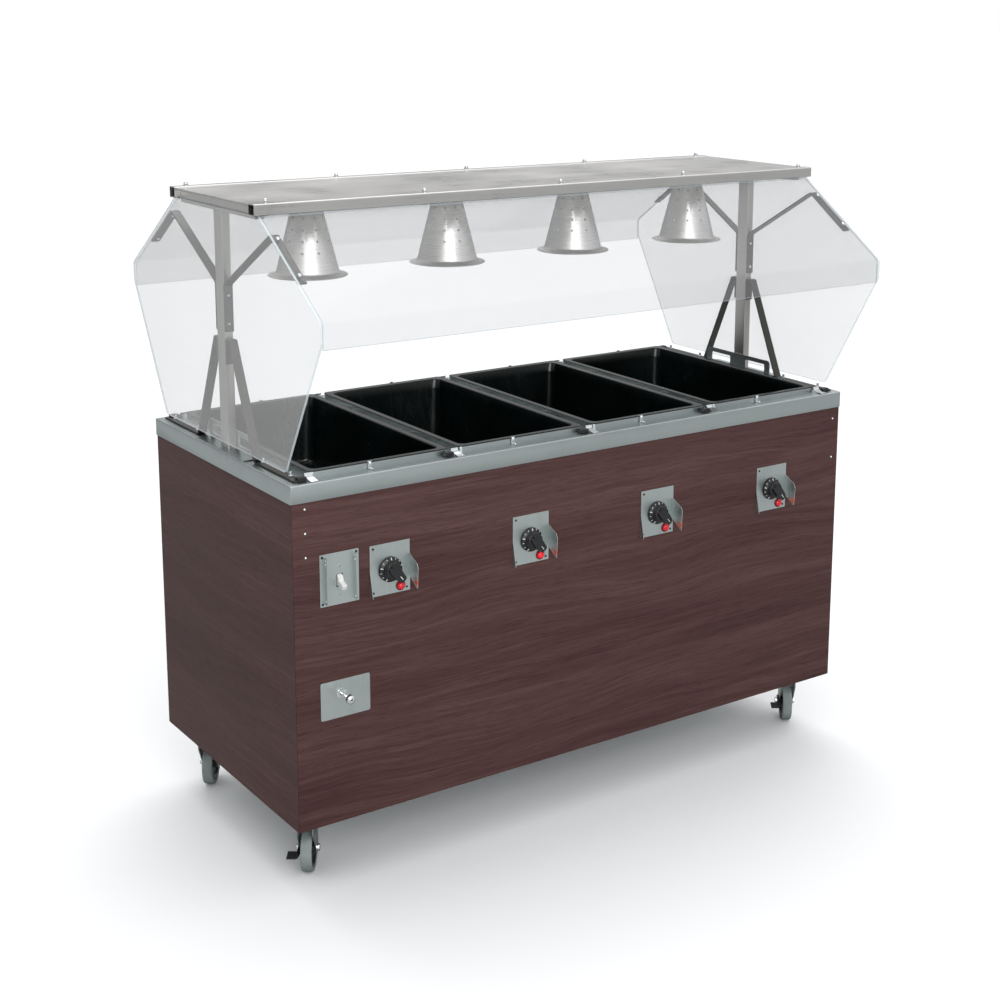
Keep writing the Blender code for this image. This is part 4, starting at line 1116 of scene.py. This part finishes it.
def build_axle(corner, place, has_brake):
    """Axle bolt with a washer and a nut at each side, further out where the brake lever sits."""
    bm = bmesh.new()
    bolt = [(0.0, -0.0236), (0.0045, -0.0236), (0.0048, -0.0230), (0.0048, 0.0264), (0.0, 0.0268)]
    caster_turned(bm, bolt, place, 20)
    for side, height in ((-1, 0.0036), (1, 0.0040 if has_brake else 0.0036)):
        face = 0.0219 if side > 0 and has_brake else 0.0185
        seat = face + 0.0013
        washer = [(0.0049, face), (0.0090, face), (0.0090, face + 0.0011), (0.0049, face + 0.0011)]
        top = seat + height
        nut = [(0.0, seat), (0.0078, seat), (0.0078, top - 0.0008), (0.0066, top), (0.0, top)]
        for profile, segments in ((washer, 24), (nut, 6)):
            caster_turned(bm, [(radius, side * across) for radius, across in profile], place, segments)
    piece(f"axle_bolt_{corner}", bm, CHROME, f"caster_fork_{corner}")


def build_wheel(corner, place):
    body = f"caster_wheel_{corner}"
    rim, face = WHEEL_RADIUS, 0.0120
    tread = mirrored([(rim - 0.0085, -face + 0.0005), (rim - 0.0012, -face), (rim, -face + 0.0022)])
    bm = bmesh.new()
    caster_turned(bm, rounded(tread, [0.0004, 0.001, 0.0015, 0.0015, 0.001, 0.0004], 4), place, 64)
    piece(f"wheel_tread_{corner}", bm, TREAD, body, [body])
    core = [(0.0056, -0.0143), (0.0120, -0.0143), (0.0140, -0.0072)]
    core += [(rim - 0.0160, -0.0062), (rim - 0.0140, -0.0112), (rim - 0.0087, -0.0112)]
    radii = [0.0004, 0.001, 0.003, 0.002, 0.001, 0.0004]
    bm = bmesh.new()
    caster_turned(bm, rounded(mirrored(core), radii + radii[::-1], 3), place, 48)
    piece(f"wheel_core_{corner}", bm, BLACK, body)


def build_brake(corner, place):
    """Pedal lever on the axle, with a ribbed toe plate that sticks out sideways."""
    body = f"caster_brake_{corner}"
    outline = from_axle((0.013, -0.007), (0.013, 0.007), (0.004, 0.013), (-0.010, 0.012))
    outline += from_axle((-0.046, 0.003), (-0.046, -0.004), (-0.008, -0.012), (0.004, -0.013))
    outline = rounded(outline, [0.005, 0.005, 0.006, 0.006, 0.002, 0.002, 0.006, 0.006], 3)
    lever = mesh_of(caster_plate, outline, (0.0187, 0.0217), place)
    bore = mesh_of(caster_turned, disc(0.0053, 0.010, 0.040), place, 24)
    piece(f"brake_lever_{corner}", cut(lever, bore), BLACK, body, [body], bevel=0.0004)
    toe = from_axle((-0.050, -0.0030), (-0.050, 0.0005), (-0.024, 0.0030), (-0.024, -0.0005))
    bm = bmesh.new()
    caster_plate(bm, toe, (0.0219, 0.0420), place)
    start_x, start_z = toe[1]
    for step in range(4):
        low = start_x + 0.004 + 0.0050 * step
        high, z = low + 0.002, start_z + (low - start_x) * 0.096
        rib = [(low, z - 0.0005), (low, z + 0.0012), (high, z + 0.0014), (high, z)]
        caster_plate(bm, rib, (0.0235, 0.0405), place)
    piece(f"brake_toe_{corner}", bm, BLACK, body, bevel=0.0005)


def build_caster(corner, x_side, y_side):
    place = Vector((x_side * CASTER_X, y_side * CASTER_Y, 0.0))
    has_brake = y_side < 0
    build_fork(corner, place)
    build_axle(corner, place, has_brake)
    build_wheel(corner, place)
    bolts = [(place.x + dx, place.y + dy, CASTER_TOP) for dx in (-0.031, 0.031) for dy in (-0.038, 0.038)]
    fasteners(f"caster_bolts_{corner}", hex_bolt, bolts, (0, 0, -1), 0.0062)
    if has_brake:
        build_brake(corner, place)


# ---- Room, light and camera ------------------------------------------
def build_floor():
    """Pale floor, which sends less light back up than its seen colour would."""
    mesh = bpy.data.meshes.new("studio_floor")
    mesh.from_pydata([(x, y, 0.0) for x, y in rectangle(40.0, 40.0)], [], [(0, 1, 2, 3)])
    floor = bpy.data.objects.new("studio_floor", mesh)
    bpy.context.scene.collection.objects.link(floor)
    made, tree, shader = principled("pale_floor", 0.85, 0.0, Specular_IOR_Level=0.1)
    seen = add_node(tree, "LightPath").outputs["Is Camera Ray"]
    shade = add_node(tree, "Mix", data_type="RGBA")
    tree.links.new(seen, shade.inputs[0])
    shade.inputs[6].default_value = (0.42, 0.43, 0.43, 1.0)
    shade.inputs[7].default_value = (0.93, 0.93, 0.94, 1.0)
    tree.links.new(shade.outputs[2], shader.inputs["Base Color"])
    mesh.materials.append(made)


def build_world():
    """Soft studio surround: bright above, darker towards the horizon and to the left."""
    world = bpy.data.worlds.new("studio")
    bpy.context.scene.world = world
    world.use_nodes = True
    tree = world.node_tree
    tree.nodes.clear()
    direction = add_node(tree, "TexCoord").outputs["Generated"]
    parts = add_node(tree, "SeparateXYZ", {"Vector": direction})
    toward = calculate(tree, "DOT_PRODUCT", direction, (0.80, -0.55, 0.10), "VectorMath")
    sideways = spread(tree, toward, 0.08, 0.44, -1.0, 1.0)
    height = spread(tree, parts.outputs["Z"], 0.0, 1.0, 0.02, 0.75)
    level = weighted(tree, (sideways, 1.0), (height, 0.78))
    seen = add_node(tree, "LightPath").outputs["Is Camera Ray"]
    surround = add_node(tree, "Background", {"Color": (0.97, 0.99, 1.0, 1.0), "Strength": level})
    backdrop = add_node(tree, "Background", {"Color": (1.0, 1.0, 1.0, 1.0), "Strength": 1.0})
    mixed = add_node(tree, "MixShader", {"Fac": seen})
    tree.links.new(surround.outputs["Background"], mixed.inputs[1])
    tree.links.new(backdrop.outputs["Background"], mixed.inputs[2])
    output = tree.nodes.new("ShaderNodeOutputWorld")
    tree.links.new(mixed.outputs["Shader"], output.inputs["Surface"])


def add_light(name, kind, place, aim, energy, **settings):
    data = bpy.data.lights.new(name, kind)
    data.energy = energy
    for setting, value in settings.items():
        setattr(data, setting, value)
    lamp = bpy.data.objects.new(name, data)
    lamp.location = place
    lamp.rotation_mode = "QUATERNION"
    lamp.rotation_quaternion = (Vector(aim) - Vector(place)).to_track_quat("-Z", "Y")
    bpy.context.scene.collection.objects.link(lamp)


def build_lights():
    centre = (0.0, 0.0, 0.6)
    add_light("high_key", "SUN", (1.2, 2.4, 5.0), centre, 1.05, angle=math.radians(50))
    add_light("front_fill", "AREA", (-1.6, -4.2, 2.2), centre, 80.0, size=2.6)
    add_light("side_strip", "AREA", (-4.0, 0.6, 2.0), centre, 3.0, size=1.0)


def build_camera():
    focal_share = 1.6788  # focal length as a share of the picture's width
    yaw, pitch, roll = math.radians(35.224), math.radians(11.528), math.radians(0.333)
    data = bpy.data.cameras.new("camera")
    data.sensor_width = 36.0
    data.lens = 36.0 * focal_share
    data.shift_x = -0.045
    data.shift_y = -0.150
    data.clip_end = 200.0
    camera = bpy.data.objects.new("camera", data)
    bpy.context.scene.collection.objects.link(camera)
    aim = Vector((math.sin(yaw) * math.cos(pitch), math.cos(yaw) * math.cos(pitch), -math.sin(pitch)))
    camera.rotation_mode = "QUATERNION"
    camera.rotation_quaternion = aim.to_track_quat("-Z", "Y") @ Quaternion((0, 0, 1), roll)
    camera.location = (-2.202, -3.258, 1.8365)
    bpy.context.scene.camera = camera
    bpy.context.scene.view_settings.view_transform = "Standard"


# ---- Assembly --------------------------------------------------------
build_countertop()
build_wells()
build_rim_hardware()
build_cabinet()
build_inner_pieces()
build_controls()
build_switch()
build_drain_controls()
build_overshelf()
build_lamps()
build_posts()
build_guard_strips()
build_guard_sheets()
for face, y_side in FACES:
    for end, x_side in ENDS:
        build_caster(f"{face}_{end}", x_side, y_side)
build_floor()
build_world()
build_lights()
build_camera()
